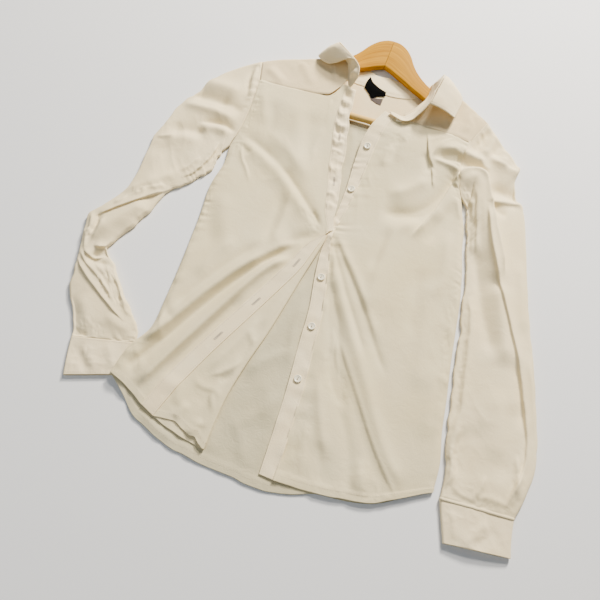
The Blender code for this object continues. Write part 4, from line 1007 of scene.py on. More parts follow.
# %% Left front
LEFT_FRONT = table(
    "seam_x seam_y seam_z near_z half_z far_z side_z",
    (36, 347, 15.2, 15.3, 15.4, 15.3, 15.2),
    (28, 318, 15.0, 15.2, 15.2, 15.0, 14.6),
    (24, 288, 11.0, 12.4, 13.0, 12.6, 12.2),
    (23, 260, 7.6, 9.6, 10.6, 10.2, 9.4),
    (22, 235, 5.8, 8.2, 9.4, 9.0, 5.0),
    (21, 212, 5.0, 7.4, 8.8, 8.2, 2.0),
    (19, 180, 4.4, 6.8, 8.4, 7.8, 2.0),
    (15, 148, 4.0, 6.8, 8.0, 7.4, 2.0),
    (11.5, 122, 3.8, 6.8, 7.8, 7.2, 2.0),
    (12, 104, 3.8, 6.6, 7.6, 7.0, 2.0),
    (19, 78, 3.6, 6.4, 7.4, 6.8, 2.0),
    (28, 40, 3.4, 6.0, 7.0, 6.6, 2.0),
    (38, -10, 3.2, 5.6, 6.6, 6.4, 2.0),
    (44, -65, 3.2, 5.2, 6.4, 6.2, 2.0),
    (50, -120, 3.2, 5.0, 6.0, 6.0, 2.0),
    (53, -175, 3.2, 4.6, 5.4, 5.6, 2.0),
    (56, -249, 3.2, 3.8, 4.2, 4.2, 2.0),
)
LEFT_FRONT_CREASES = (
    # height, width, sharp, lean, points
    (2.4, 6, 0.95, 1.6, (93, 340), (100, 320), (106, 302), (113, 288), (127, 270)),
    (1.8, 4, 0.9, 1, (117, 280), (124, 262), (130, 240)),
    (2.4, 5, 0.8, 1, (142, 342), (125, 326), (117, 308), (113, 288)),
    (1.2, 5, 0.5, 0, (100, 318), (112, 330), (126, 338)),
    (-1.6, 7, 0.2, 0, (100, 300), (108, 282), (118, 262)),
    (2.8, 11, 0.1, 0, (124, 262), (108, 240), (88, 220), (62, 206)),
    (-4.8, 12, 0.1, 0, (161, 292), (157, 262), (148, 234), (136, 209), (116, 190), (90, 180), (62, 176)),
    (2.4, 12, 0.2, 0, (128, 186), (112, 168), (98, 150), (94, 120), (93, 80), (94, 40), (98, 8)),
    (-1.8, 10, 0.2, 0, (86, 160), (84, 120), (82, 70)),
    (-1.8, 10, 0.2, 0, (168, 232), (160, 200), (152, 168), (144, 140)),
    (1.6, 12, 0.3, 0, (170, 180), (178, 140), (184, 100), (176, 60)),
    (1.4, 8, 0.4, 0, (48, 296), (44, 272), (46, 250)),
    (1.2, 8, 0.3, 0, (70, 330), (66, 300), (60, 262)),
    (-1.1, 8, 0.2, 0, (56, 320), (56, 290), (52, 262)),
    (-1.8, 6, 0.4, 0, (116, -56), (98, -28), (78, 2), (60, 28), (44, 54), (30, 76), (18, 96), (10, 118)),
    (2.4, 10, 0.1, 0, (20, 104), (30, 66), (48, 34), (66, 4), (86, -26), (108, -60), (130, -94),
     (152, -130), (182, -172), (216, -204)),
    (2.0, 7, 0.3, 0, (14, 122), (36, 92), (60, 64), (84, 32), (106, 0), (126, -30)),
    (-1.4, 6, 0.4, 0, (152, -72), (126, -38), (104, -4), (82, 26), (60, 54), (36, 84), (16, 114)),
    (-3.2, 10, 0.3, 0, (30, 46), (44, 10), (60, -20), (70, -48), (80, -80), (92, -108), (104, -126)),
    (2.0, 5, 0.6, 0, (66, -30), (74, -56), (84, -84), (96, -108)),
    (1.8, 5, 0.5, 0, (56, -18), (66, -44), (72, -70)),
    (-1.6, 5, 0.3, 0, (74, -66), (84, -92), (100, -116), (118, -128)),
    (1.0, 6, 0.9, 0.4, (70, -34), (92, -66), (112, -94), (132, -122), (156, -156), (182, -188), (212, -220)),
    (-0.8, 8, 0.1, 0, (80, -60), (104, -98), (124, -126), (148, -160), (172, -192), (196, -216)),
    (-1.5, 10, 0.2, 0, (84, -96), (108, -136), (126, -166), (140, -200), (146, -232)),
    (1.8, 9, 0.3, 0, (60, -90), (74, -130), (92, -170), (112, -206)),
    (1.4, 9, 0.3, 0, (150, -182), (154, -204), (154, -230)),
    (1.4, 14, 0.2, 0, (170, 100), (176, 40), (186, -20), (196, -80)),
    (-1.3, 12, 0.2, 0, (150, 110), (156, 50), (164, -10)),
    (1.3, 14, 0.2, 0, (206, -20), (214, -80), (222, -140)),
    (1.3, 9, 0.3, 0, (70, -160), (76, -200), (84, -236)),
    (-1.2, 9, 0.2, 0, (92, -180), (104, -210), (114, -238)),
    (1.3, 9, 0.3, 0, (152, -196), (162, -214), (168, -232)),
    (1.6, 7, 0.5, 0, (168, 240), (176, 222), (186, 200)),
)
LEFT_FRONT_PATCHES = (
    # middle x and y, reach along and across, turn in degrees, crinkle size, height
    (84, -92, 46, 14, 125, 9, 1.0), (66, -190, 50, 16, 95, 10, 0.7), (214, 20, 110, 8, 98, 9, 0.7),
    (150, -222, 14, 60, 95, 10, 0.7), (152, 330, 20, 22, 0, 9, 0.7), (60, 320, 40, 20, 60, 11, 0.6),
)
LEFT_SHOULDER_CREASES = (
    # these run on into the sleeve, so the front and the sleeve both read them
    (3.6, 9, 0.2, 0, (112, 300), (124, 312), (142, 318), (160, 318), (180, 314), (205, 312)),
    (-3.4, 10, 0.1, 0, (108, 290), (128, 298), (148, 303), (168, 300), (190, 298), (206, 292)),
    (2.8, 6, 0.4, 0, (110, 292), (132, 290), (150, 287), (166, 284)),
    (4.4, 8, 0.95, 2.4, (203, 276), (197, 286), (187, 292), (176, 292), (166, 285), (160, 268),
     (155, 244), (149, 218), (143, 196), (132, 168), (120, 146)),
    (2.6, 10, 0.1, 0, (166, 262), (161, 236), (154, 208), (144, 180)),
)

# %% [markdown]
# This side is one layer, so a plain grid will do. It shares the creases of the shoulder with the
# sleeve, so they run on across the seam.

# %% Draw the left front
LEFT_COLUMNS = 120


def left_upper(down, across):
    """Left front with its creases, from the placket seam to its side."""
    t = LEFT_FRONT
    side_x, side_y = side_edge("left", down)
    sag_x, sag_y = edge_bow(LEFT_FRONT_HEM, across, down ** HEM_REACH)
    seam_x = along(t["seam_x"], down)
    seam_y = along(t["seam_y"], down)
    x = seam_x + (side_x - seam_x) * across + sag_x
    y = seam_y + (side_y - seam_y) * across + sag_y
    names = ("seam_z", "near_z", "half_z", "far_z", "far_z")
    plateau = across_heights([along(t[name], down) for name in names], across)
    relief = relief_of(x, y, LEFT_FRONT_CREASES)
    shared = relief_of(x, y, LEFT_SHOULDER_CREASES)
    from_hem = (1 - down) * BODY_LENGTH
    from_side = side_x - x
    from_seam = x - seam_x
    room = smooth(0, 9, from_side) * smooth(0, 9, from_seam)
    joined = 1 - smooth(0.2, 0.23, down) * (1 - smooth(0, 9, from_side))
    crumples = crinkled(x, y, LEFT_FRONT_PATCHES, 161)
    bumps = (relief.z + crumples + 1.3 * rumple(x, y, 61, 34)) * room * (0.3 + 0.7 * smooth(0, 0.1, down))
    bumps = bumps + shared.z * joined * smooth(0, 0.04, down)
    side_run = down * SIDE_LENGTH + 0 * x
    bumps = bumps + pucker(side_run, from_side, 1.7, 9, 71, 7) * smooth(0, 4, from_side)
    bumps = bumps + pucker(side_run, from_seam, 1.7, 16, 72, 9)
    bumps = bumps + pucker(x, from_hem + 0 * x, 1.4, 16, 73, 10) * smooth(0, 8, from_side)
    side_z = along(t["side_z"], down)
    z = side_z + (plateau - side_z) * round_edge(from_side) + bumps
    z = clear_of_hanger(z, down, from_side)
    x = x + relief.dx * room + shared.dx * joined
    return x, y + relief.dy * room + shared.dy * joined, z


def draw_left_front():
    """The left front, tucked under the yoke and under its placket."""
    down = row_fine(FINE_ROWS, 0.1, 0.2)[:, None]
    across = row_fine(LEFT_COLUMNS, 0.0, 0.5)[None, :]
    x, y, z = left_upper(down, across)
    from_hem = (1 - down) * BODY_LENGTH + 0 * x
    y = y + 0.9 * uneven(x, 0 * x, 18, 79) * smooth(25, 0, from_hem)
    thick = CLOTH + hem_band(from_hem)
    middle = np.stack([x, y, z + (thick - CLOTH) / 2], axis=2)
    middle = tuck(tuck(middle, "first row", length=4), "first column")
    thick = np.pad(thick, ((TUCK_ROWS, 0), (TUCK_ROWS, 0)), mode="edge")
    piece = cloth("left_front_panel", "left_front", middle, thick, FRONT_COTTON)


draw_left_front()

# %% [markdown]
# The button placket is the same kind of band. It lies on the back's inside, and the buttons pull
# small dimples into it.

# %% Left placket
LEFT_PLACKET = table(
    "edge_x edge_y edge_z",
    (18, 352, 15.2),
    (5, 318, 15.0),
    (0, 288, 10.0),
    (0, 260, 5.6),
    (1, 235, 3.8),
    (3, 212, 3.2),
    (4, 180, 3.0),
    (3.5, 148, 2.9),
    (2, 122, 2.9),
    (3, 104, 2.9),
    (3, 78, 2.9),
    (8, 40, 2.8),
    (17, -10, 2.8),
    (21.5, -65, 2.8),
    (27, -120, 2.8),
    (30.5, -175, 2.8),
    (34, -248, 2.8),
)
BUTTON_Y = (281, 200, 121, 43, -34, -112)
FASTENED = 2


def left_placket_point(down, across):
    """Left placket, from its free edge (across 0) to the seam beside the left front (across 1)."""
    edge = [along(LEFT_PLACKET[name], down) for name in ("edge_x", "edge_y", "edge_z")]
    seam = [along(LEFT_FRONT[name], down) for name in ("seam_x", "seam_y", "seam_z")]
    x = edge[0] + (seam[0] - SEAM - edge[0]) * across
    y = edge[1] + (seam[1] - edge[1]) * across
    z = edge[2] + (seam[2] - edge[2]) * across
    return x, y, z


def under_twist(x, y):
    """Rise of the button band where the twisted edge pulls it up."""
    return 4.2 * np.exp(-((x - 8) / 9) ** 2 - ((y - 109) / 13) ** 2)


def draw_left_placket():
    """The button placket, with a dimple under each button."""
    down = row_fine(FINE_ROWS, 0.1, 0.2)[:, None]
    across = np.linspace(0, 1, PLACKET_COLUMNS)[None, :]
    x, y, z = left_placket_point(down, across)
    run = down * BODY_LENGTH + 0 * x
    bumps = pucker(run, across * 22, 1.2, 13, 81, 8) + pucker(run, (1 - across) * 22, 1.5, 12, 72, 9)
    dimple = 0 * x
    half_way = PLACKET_COLUMNS // 2
    for button_y in BUTTON_Y:
        button_x = np.interp(button_y, y[::-1, half_way], x[::-1, half_way])
        near = np.hypot(x - button_x, y - button_y)
        dimple = dimple + np.exp(-(near / 8.0) ** 2)
        bumps = bumps + 0.5 * np.exp(-((near - 15) / 6.0) ** 2)
    z = z + np.maximum(bumps, -0.5) * (1 - np.clip(dimple, 0, 1))
    z = z + under_twist(x, y)
    middle = np.stack([x, y, z], axis=2)
    thick = stitched_band(across, x.shape)
    piece = cloth("left_placket_band", "left_placket", middle, thick, BAND_COTTON_DOUBLED_PAINTED_LIGHT)


draw_left_placket()

# %% [markdown]
# The yoke is one piece that folds over both shoulders, round the top edge of the hanger. It is drawn
# as a flat pattern and wrapped: over is the distance from the shoulder's outermost line along the
# cloth, more than 0 on the front and less than 0 on the back.

# %% Yoke
SHOULDER_LINE = table(
    "x y", (-206, 383), (-180, 397), (-160, 405), (-143, 411), (-125, 419), (-105, 427), (-88, 436),
    (-76, 443), (-60, 449))
SHOULDER_LINE_LEFT = table(
    "x y", (55, 444), (70, 436), (82, 431), (95, 428), (113, 424), (131, 419), (142, 412), (160, 400),
    (181, 387.5))
FOLD_RADIUS = 7.3
FOLD_CENTRE = 7.9
YOKE = table(
    "neck_x neck_y outer_x outer_y layer",
    (-60, 388, -64.3, 377.3, 1),
    (-59.5, 394, -77.5, 353.8, 1),
    (-60, 400, -102, 347.2, 1),
    (-61.5, 406, -132, 343.6, 1),
    (-63, 411, -163, 341.0, 1),
    (-64.5, 415, -194, 338.8, 1),
    (-67, 421, -199, 358, 1),
    (-71, 1.15, -204, 1.15, 0),
    (-74, 0.75, -206, 0.75, 0),
    (-76, 0.38, -207, 0.38, 0),
    (-77, 0, -207, 0, 0),
    (-76, -0.38, -207, -0.38, 0),
    (-74, -0.75, -206, -0.75, 0),
    (-71, -1.15, -204, -1.15, 0),
    (-64, 420, -199, 358, -1),
    (-58, 411.5, -194, 338.6, -1),
    (-51, 404.5, -155, 334.5, -1),
    (-42, 403.3, -115, 332.0, -1),
    (-30, 401.6, -72, 330.7, -1),
    (-14, 399.5, -30, 330.4, -1),
    (3, 397.0, 5, 330.4, -1),
    (22, 396.5, 45, 330.8, -1),
    (40, 400.5, 88, 332.4, -1),
    (50, 404.0, 128, 334.8, -1),
    (58, 408.0, 162, 338.6, -1),
    (66, 413.0, 169, 358, -1),
    (72, -1.15, 178, -1.15, 0),
    (75, -0.75, 180, -0.75, 0),
    (77, -0.38, 181, -0.38, 0),
    (78, 0, 181.5, 0, 0),
    (78.5, 0.38, 181, 0.38, 0),
    (79, 0.75, 180, 0.75, 0),
    (79.5, 1.15, 178, 1.15, 0),
    (79, 405, 169, 358, 1),
    (76, 393, 162, 338.8, 1),
    (70, 381, 133, 340.9, 1),
    (64, 370, 102, 343.1, 1),
    (57, 360, 76, 345.0, 1),
    (51, 353, 54, 347.0, 1),
)
YOKE_CREASES = (
    # height, width, sharp, lean, points, all on the upper layer
    (1.6, 9, 0.4, 0, (-196, 372), (-176, 362), (-156, 346)),
    (-1.1, 8, 0.2, 0, (-186, 386), (-164, 374), (-140, 356)),
    (1.2, 9, 0.4, 0, (-150, 404), (-128, 384), (-108, 358)),
    (1.4, 7, 0.5, 0, (-96, 424), (-84, 404), (-76, 380)),
    (-1.0, 7, 0.2, 0, (-104, 420), (-94, 398), (-88, 372)),
    (1.5, 8, 0.5, 0, (100, 412), (112, 386), (118, 356)),
    (-1.1, 8, 0.2, 0, (110, 412), (124, 390), (130, 362)),
    (1.4, 8, 0.4, 0, (150, 396), (152, 372), (146, 350)),
    (1.0, 8, 0.4, 0, (84, 356), (100, 350), (120, 350)),
)
YOKE_PATCHES = (
    # middle x and y, reach along and across, turn in degrees, crinkle size, height
    (150, 395, 22, 12, -60, 9, 0.8), (-140, 400, 24, 12, 60, 10, 0.7),
)

# %% [markdown]
# Near the shoulder line the pattern turns round the hanger like a sheet round a rod. Beyond a
# quarter turn to either side it runs on flat, above and below the hanger.

# %% Wrap the yoke
YOKE_COLUMNS = 250
YOKE_ROWS = 48


def shoulder_y(x):
    """Where the shoulder's outermost line runs, on either side of the neck."""
    right = np.interp(x, SHOULDER_LINE["x"], SHOULDER_LINE["y"])
    left = np.interp(x, SHOULDER_LINE_LEFT["x"], SHOULDER_LINE_LEFT["y"])
    return np.where(x < 0, right, left)


def draw_yoke():
    """The yoke, wrapped round both shoulders from its flat pattern."""
    t = YOKE
    quarter = math.pi * FOLD_RADIUS / 2

    def pattern_over(x, y):
        flat = shoulder_y(x) - FOLD_RADIUS - y + quarter
        return np.where(t["layer"] == 0, y * quarter, t["layer"] * flat)

    columns = np.arange(len(t["layer"]))
    fine = np.linspace(0, columns[-1], YOKE_COLUMNS)
    share = np.linspace(0, 1, YOKE_ROWS)[:, None]

    def column(values):
        return np.interp(fine, columns, values)

    neck = column(pattern_over(t["neck_x"], t["neck_y"]))
    outer = column(pattern_over(t["outer_x"], t["outer_y"]))
    x = column(t["neck_x"]) + (column(t["outer_x"]) - column(t["neck_x"])) * share
    over = neck + (outer - neck) * share
    angle = np.clip(over, -quarter, quarter) / FOLD_RADIUS
    flat = np.maximum(abs(over) - quarter, 0)
    centre_y = shoulder_y(x) - FOLD_RADIUS
    y = centre_y + FOLD_RADIUS * np.cos(angle) - flat
    z = FOLD_CENTRE + FOLD_RADIUS * np.sin(angle)
    relief = relief_of(x, y, YOKE_CREASES)
    front = smooth(0, 6, over)
    crumples = crinkled(x, y, YOKE_PATCHES, 97)
    room = smooth(0, 0.12, share) * smooth(0, 0.1, 1 - share)
    bumps = np.maximum(relief.z + crumples + 0.6 * rumple(x, y, 91, 30) + 0.5, 0) * front * room
    run = (fine * 12)[None, :] + 0 * x
    from_outer = (1 - share) * 60
    bumps = bumps + np.maximum(pucker(run, from_outer, 1.2, 14, 93, 9), -0.3) * front
    inside = np.maximum(0.5 * rumple(x, y, 95, 26) + 0.15, 0) * smooth(-8, -20, over) * room
    edge = np.exp(-(from_outer / 2.2) ** 2) * front
    middle = np.stack([x, y, z + bumps + inside - 0.35 * edge], axis=2)
    thick = np.pad(BAND - 0.75 * edge, ((TUCK_ROWS, 0), (0, 0)), mode="edge")
    piece = cloth("yoke_panel", "yoke", tuck(middle, "first row", length=4), thick, YOKE_COTTON)


draw_yoke()

# %% [markdown]
# The collar is two pieces: a stitched stand round the neck, and a leaf that springs from the stand's
# top edge and turns down. Both follow the same stations round the neck, and the middle of the back
# is pressed flat under the hanger.

# %% Collar
COLLAR = table(
    "seam_x seam_y seam_z top_x top_y top_z edge_x edge_y edge_z bulge",
    (-50, 376, 17.2, -41, 390, 36, 0, 0, 0, 0),
    (-56, 391, 17.2, -44, 402, 41, 0, 0, 0, 0),
    (-61, 406, 17.2, -55, 414, 42, -74, 413, 35, 6),
    (-67, 420, 17.2, -72, 424, 46, -96, 406, 25, 7),
    (-72, 434, 17.2, -88, 434, 47, -117, 415, 23, 8),
    (-73.5, 444, 13.8, -91, 447, 34, -118, 432, 14, 7),
    (-73.5, 447, 8.5, -86, 455, 19, -108, 446, 6, 4),
    (-74.5, 444, 2.5, -78, 458, 6.4, -93, 448, 1.2, 1),
    (-63, 427, 2.35, -66, 451, 2.3, -67, 440, 0.6, 0),
    (-51, 406, 2.5, -46, 436, 2.6, -53, 413, 0.6, 0),
    (-33, 403.2, 2.5, -31, 434, 2.6, -36, 408, 0.6, 0),
    (-15, 400.8, 2.5, -15, 427.5, 2.6, -16, 405, 0.6, 0),
    (3, 398.2, 2.5, 1, 430.0, 2.6, 3, 403, 0.6, 0),
    (22, 397.8, 2.5, 20, 428.5, 2.6, 22, 403, 0.6, 0),
    (44, 402.6, 2.5, 44, 426, 2.6, 45, 408, 0.6, 0),
    (61, 412.2, 2.5, 64, 434, 2.6, 62, 424, 0.6, 0),
    (70, 421.5, 2.3, 76, 441, 3.4, 86, 441, 0.8, 0),
    (75, 431.5, 3.6, 82, 446, 10, 98, 441, 3, 1),
    (76.5, 435.5, 8.5, 88, 444, 22, 112, 437, 8, 4),
    (76.5, 432.5, 14, 91, 437, 37, 122, 429, 15, 6),
    (77, 422, 17.2, 90, 420, 49, 129, 410, 25, 8),
    (78, 404, 17.2, 87, 396, 49, 129, 388, 28, 8),
    (73, 384, 17.2, 82, 366, 45, 127, 364, 32, 6),
    (63, 364, 17.2, 68, 349, 25, 0, 0, 0, 0),
    (51, 349, 17.2, 53, 338, 21.5, 0, 0, 0, 0),
    (38, 350, 17.2, 37, 342, 21, 0, 0, 0, 0),
    (28, 352, 17.2, 26, 349, 20.5, 0, 0, 0, 0),
)
LEAF_FIRST = 2
LEAF_LAST = 22
COLLAR_LAST = len(COLLAR["bulge"]) - 1
STAND_INSET = 2.4
LEAF_INSET = 5.0

# %% [markdown]
# The stand is straight from its seam to its top edge. The leaf is a curve with one guiding point in
# the middle, which gives the soft roll that a pressed collar keeps.

# %% Draw the collar
STAND_PLACES = 270
STAND_COLUMNS = 26
STAND_LENGTH = 520
STAND_HEIGHT = 26
LEAF_PLACES = 240
LEAF_COLUMNS = 36
LEAF_LENGTH = 420
LEAF_DEPTH = 40


def stand_grid(places, across):
    """Middle of the collar stand at places along it (down the rows) and from seam to top."""
    seam = np.stack([along(COLLAR["seam_" + axis], places) for axis in "xyz"], axis=1)
    top = np.stack([along(COLLAR["top_" + axis], places) for axis in "xyz"], axis=1)
    return seam[:, None, :] + (top - seam)[:, None, :] * across[None, :, None]


def draw_stand():
    """The collar stand, which is crumpled most at its free end on the right."""
    places = np.linspace(0, 1, STAND_PLACES)
    across = np.linspace(0, 1, STAND_COLUMNS)
    stand = stand_grid(places, across)
    normal = grid_normals(stand)
    high = smooth(6, 16, stand[..., 2])
    run = places[:, None] * STAND_LENGTH + 0 * across
    pressed = smooth(6, 3, stand[:, :1, 2]) * np.exp(-(across * STAND_HEIGHT / 3) ** 2)
    stand = stand - np.stack([0 * pressed, 0.5 * pressed, 0.9 * pressed], axis=2)
    up = across * STAND_HEIGHT
    crumple = 1.1 * uneven(run, up, 17, 101) + 0.6 * uneven(run, up, 8, 102)
    front_end = smooth(0.26, 0.18, places)[:, None]
    sharper = 2.0 * uneven(run + 9 * across, across * 8, 9, 103) * front_end
    crumple = crumple * (1 + 1.4 * front_end) + sharper
    crumple = crumple * (1 - front_end * smooth(0.7, 1, across))
    stand = stand + normal * (crumple * high * smooth(0, 0.3, across))[..., None]
    stitched = 0.4 * np.exp(-((across[None, :] * STAND_HEIGHT - STAND_INSET) / 1.0) ** 2)
    thick = BAND - stitched + 0 * places[:, None]
    thick = np.pad(thick, ((0, 0), (TUCK_ROWS, 0)), mode="edge")
    piece = cloth("collar_stand_band", "collar_stand", tuck(stand, "first column"), thick, BAND_COTTON_DOUBLED_PAINTED_LIGHT)


def draw_leaf():
    """The collar leaf, which curves over from the stand's top edge to its own free edge."""
    first = LEAF_FIRST / COLLAR_LAST
    length = (LEAF_LAST - LEAF_FIRST) / COLLAR_LAST
    places = first + length * np.linspace(0, 1, LEAF_PLACES)
    stand = stand_grid(places, np.linspace(0, 1, 5))
    outward = grid_normals(stand)[:, -1]
    root = stand[:, -1] + outward * 1.8
    share = (places - first) / length
    used = slice(LEAF_FIRST, LEAF_LAST + 1)
    edge = np.stack([along(COLLAR["edge_" + axis][used], share) for axis in "xyz"], axis=1)
    middle = (root + edge) / 2
    middle[:, 2] += along(COLLAR["bulge"][used], share)
    s = np.linspace(0, 1, LEAF_COLUMNS)[None, :, None]
    leaf = (1 - s) ** 2 * root[:, None] + 2 * s * (1 - s) * middle[:, None] + s ** 2 * edge[:, None]
    normal = grid_normals(leaf)
    high = smooth(3, 10, leaf[..., 2])
    run = share[:, None] * LEAF_LENGTH + 0 * s[..., 0]
    depth = s[..., 0] * LEAF_DEPTH
    from_edge = LEAF_DEPTH - depth
    bumps = 0.9 * uneven(run, depth, 26, 111) + 0.35 * uneven(run, depth, 9, 112)
    bumps = bumps + pucker(run, from_edge, 0.7, 9, 113, 8)
    leaf = leaf + normal * (bumps * high * smooth(0, 0.25, s[..., 0]))[..., None]
    thick = BAND - 0.35 * np.exp(-((from_edge - LEAF_INSET) / 1.0) ** 2) + 0 * run
    piece = cloth("collar_leaf_cloth", "collar_leaf", leaf, thick, BAND_COTTON_DOUBLED_PAINTED_LIGHT)


draw_stand()
draw_leaf()

# %% [markdown]
# Each sleeve is a tube that lies flattened. Its rings follow two edges, the one away from the body
# and the one beside it, and only the upper layer carries the big creases.

# %% Sleeves
RIGHT_SLEEVE = table(
    "out_x out_y in_x in_y out_h mid_h in_h",
    (-208, 383, -196.5, 210, 15.8, 12.0, 6.0),
    (-245, 355, -203, 196, 12.0, 11.5, 6.0),
    (-275, 318, -205, 180, 9.5, 11.0, 6.0),
    (-290, 279, -205, 163, 8.0, 11.0, 5.5),
    (-304, 254, -212, 149, 7.0, 10.5, 5.5),
    (-311, 215, -221, 138, 6.5, 10.0, 5.5),
    (-316, 186, -228, 126, 6.0, 9.5, 5.5),
    (-313, 138, -243, 112, 6.0, 9.5, 5.5),
    (-313, 88, -255, 98, 6.5, 9.5, 6.0),
    (-330, 52, -262, 62, 7.0, 9.5, 6.5),
    (-346, 24, -276, 27, 7.5, 9.5, 7.0),
    (-341, -10, -294, -12, 7.5, 9.5, 7.0),
    (-332, -42, -293, -27, 7.0, 9.0, 7.0),
    (-325, -70, -269, -47, 6.5, 8.5, 6.5),
    (-319, -96, -240, -80, 6.0, 8.0, 6.0),
    (-299, -124, -216, -103, 5.5, 7.5, 5.5),
    (-284, -150, -197.5, -124, 5.0, 6.0, 4.8),
    (-280.5, -162, -193, -140, 5.0, 5.2, 4.6),
)
RIGHT_CUFF = table(
    "out_x out_y in_x in_y out_h mid_h in_h",
    (-280.8, -162.8, -193, -140.8, 5.2, 5.2, 4.6),
    (-276, -182, -194, -158, 5.2, 5.6, 4.6),
    (-271, -199, -196, -175, 5.2, 5.6, 4.6),
    (-265.5, -216, -198, -191, 5.2, 5.2, 4.6),
)
LEFT_SLEEVE = table(
    "out_x out_y in_x in_y out_h mid_h in_h",
    (181, 387, 176.5, 240, 15.8, 12.5, 7.0),
    (213, 355, 186, 229, 13.0, 13.0, 7.0),
    (240, 329, 191, 213, 10.0, 13.0, 6.5),
    (246, 300, 196, 194, 8.5, 12.5, 6.0),
    (255, 265, 201, 176, 8.0, 12.0, 6.0),
    (270, 246, 205, 158, 7.5, 11.5, 6.0),
    (284, 200, 211, 130, 7.0, 11.0, 5.5),
    (297, 150, 216, 100, 7.0, 10.5, 5.5),
    (309, 100, 222, 62, 6.5, 10.5, 5.5),
    (324, 50, 229, 25, 6.5, 10.0, 5.5),
    (339, 0, 233, -15, 6.5, 10.0, 5.5),
    (350, -40, 238, -55, 6.5, 10.0, 5.5),
    (361, -85, 244, -95, 6.5, 10.0, 5.5),
    (365, -125, 252, -133, 6.5, 9.5, 6.0),
    (361, -165, 257, -165, 6.5, 9.0, 6.5),
    (354, -189, 260, -196, 6.0, 7.5, 6.5),
)
LEFT_CUFF = table(
    "out_x out_y in_x in_y out_h mid_h in_h",
    (354, -189.8, 260.2, -196.8, 6.0, 7.6, 6.5),
    (355, -206, 266, -214, 6.0, 8.2, 6.5),
    (357, -222, 272, -231, 6.0, 8.6, 6.5),
    (360, -237, 278, -248, 6.0, 9.0, 6.5),
)

# %% [markdown]
# The sleeves are the most creased parts. The right one is twisted at the elbow, and the left one has
# an arch of cloth at the armpit that laps over the front.

# %% Creases of the sleeves
RIGHT_SLEEVE_CREASES = (
    # height, width, sharp, lean, points, with the puckers of the armhole and the upper arm first
    (3.0, 7, 0.3, 0, (-203, 382), (-207, 356), (-205, 334), (-199, 312), (-195, 294)),
    (-2.6, 5, 0.3, 0, (-212, 374), (-213, 348), (-208, 326), (-200, 304)),
    (3.2, 13, 0, 0, (-290, 312), (-246, 312), (-206, 306)),
    (-3.4, 11, 0.1, 0, (-298, 284), (-258, 284), (-220, 280)),
    (-2.4, 9, 0.1, 0, (-246, 284), (-218, 281), (-194, 272)),
    (3.2, 9, 0.2, 0, (-302, 262), (-250, 261), (-225, 259), (-192, 252)),
    (-3.2, 6, 0.2, 0, (-262, 232), (-238, 240), (-215, 241), (-186, 234)),
    (3.4, 9, 0.2, 0, (-256, 220), (-225, 230), (-196, 229)),
    (-3.4, 12, 0, 0, (-304, 204), (-270, 214), (-236, 216)),
    (2.8, 12, 0, 0, (-300, 184), (-268, 196), (-236, 200)),
    (1.4, 5, 0.4, 0, (-314, 186), (-298, 190), (-280, 196)),
    (3.2, 5, 0.92, 2, (-244, 128), (-230, 142), (-220, 164), (-214, 188), (-211, 214)),
    (1.4, 5, 0.5, 0, (-252, 136), (-238, 152), (-228, 176)),
    (-2.6, 5, 0.3, 0, (-207, 205), (-209, 175), (-214, 146)),
    (1.6, 16, 0, 0, (-292, 170), (-286, 130), (-290, 90)),
    # the twist at the elbow, one layer over the other
    (2.6, 10, 0.2, 0, (-320, 72), (-290, 95), (-266, 118), (-244, 146)),
    (3.2, 12, 0.95, 5, (-340, 18), (-320, 42), (-306, 54), (-290, 68), (-276, 83), (-264, 94), (-246, 104)),
    (1.6, 4, 0.5, 0, (-300, 78), (-290, 80), (-282, 92)),
    (1.6, 4, 0.5, 0, (-280, 94), (-270, 98), (-262, 108)),
    (1.6, 4, 0.5, 0, (-322, 52), (-312, 58), (-304, 70)),
    (-4.4, 6, 0.3, 0, (-280, -22), (-293, -29), (-304, -36), (-316, -40)),
    (3.4, 8, 0.95, 3, (-316, -26), (-304, -22), (-293, -17), (-280, -8)),
    (4.6, 13, 0, 0, (-270, 78), (-284, 48), (-308, 15), (-318, -18)),
    (2.2, 5, 0.5, 0, (-344, 28), (-336, 8), (-331, -18)),
    (-2.0, 5, 0.3, 0, (-334, 34), (-328, 10), (-327, -12)),
    (1.8, 5, 0.5, 0, (-322, 26), (-319, 4), (-322, -22)),
    (1.6, 4, 0.5, 0, (-340, -2), (-331, -22), (-324, -38)),
    (2.4, 8, 0.95, 3, (-328, -34), (-310, -40), (-300, -39), (-290, -30)),
    (-2.6, 6, 0.2, 0, (-320, -44), (-300, -48), (-280, -44)),
    # the forearm, crinkled between two laps
    (1.8, 7, 0.85, 1.6, (-338, -32), (-312, -52), (-290, -64), (-270, -76), (-250, -92)),
    (1.9, 6, 0.95, 2.0, (-334, -46), (-304, -70), (-276, -87), (-250, -102), (-216, -120)),
    (1.2, 4, 0.5, 0, (-304, -46), (-288, -56), (-274, -60)),
    (1.2, 4, 0.5, 0, (-284, -48), (-268, -62), (-260, -76)),
    (-1.0, 4, 0.3, 0, (-294, -56), (-276, -68), (-260, -82)),
    (1.2, 4, 0.5, 0, (-270, -54), (-254, -70), (-242, -86)),
    (1.1, 4, 0.5, 0, (-258, -60), (-244, -78), (-234, -94)),
    (-1.0, 4, 0.3, 0, (-264, -62), (-248, -80), (-236, -98)),
    (1.1, 4, 0.5, 0, (-246, -72), (-236, -88), (-226, -102)),
    (1.0, 4, 0.5, 0, (-280, -72), (-262, -84), (-244, -92)),
    (1.0, 4, 0.5, 0, (-240, -90), (-228, -100), (-216, -108)),
    (-2.0, 11, 0, 0, (-314, -106), (-292, -136), (-280, -154)),
    (1.8, 11, 0, 0, (-300, -100), (-276, -126), (-258, -148)),
    (-2.4, 6, 0.3, 0, (-286, -148), (-274, -157), (-258, -156)),
    (1.6, 9, 0.2, 0, (-252, -116), (-226, -126), (-202, -126)),
)
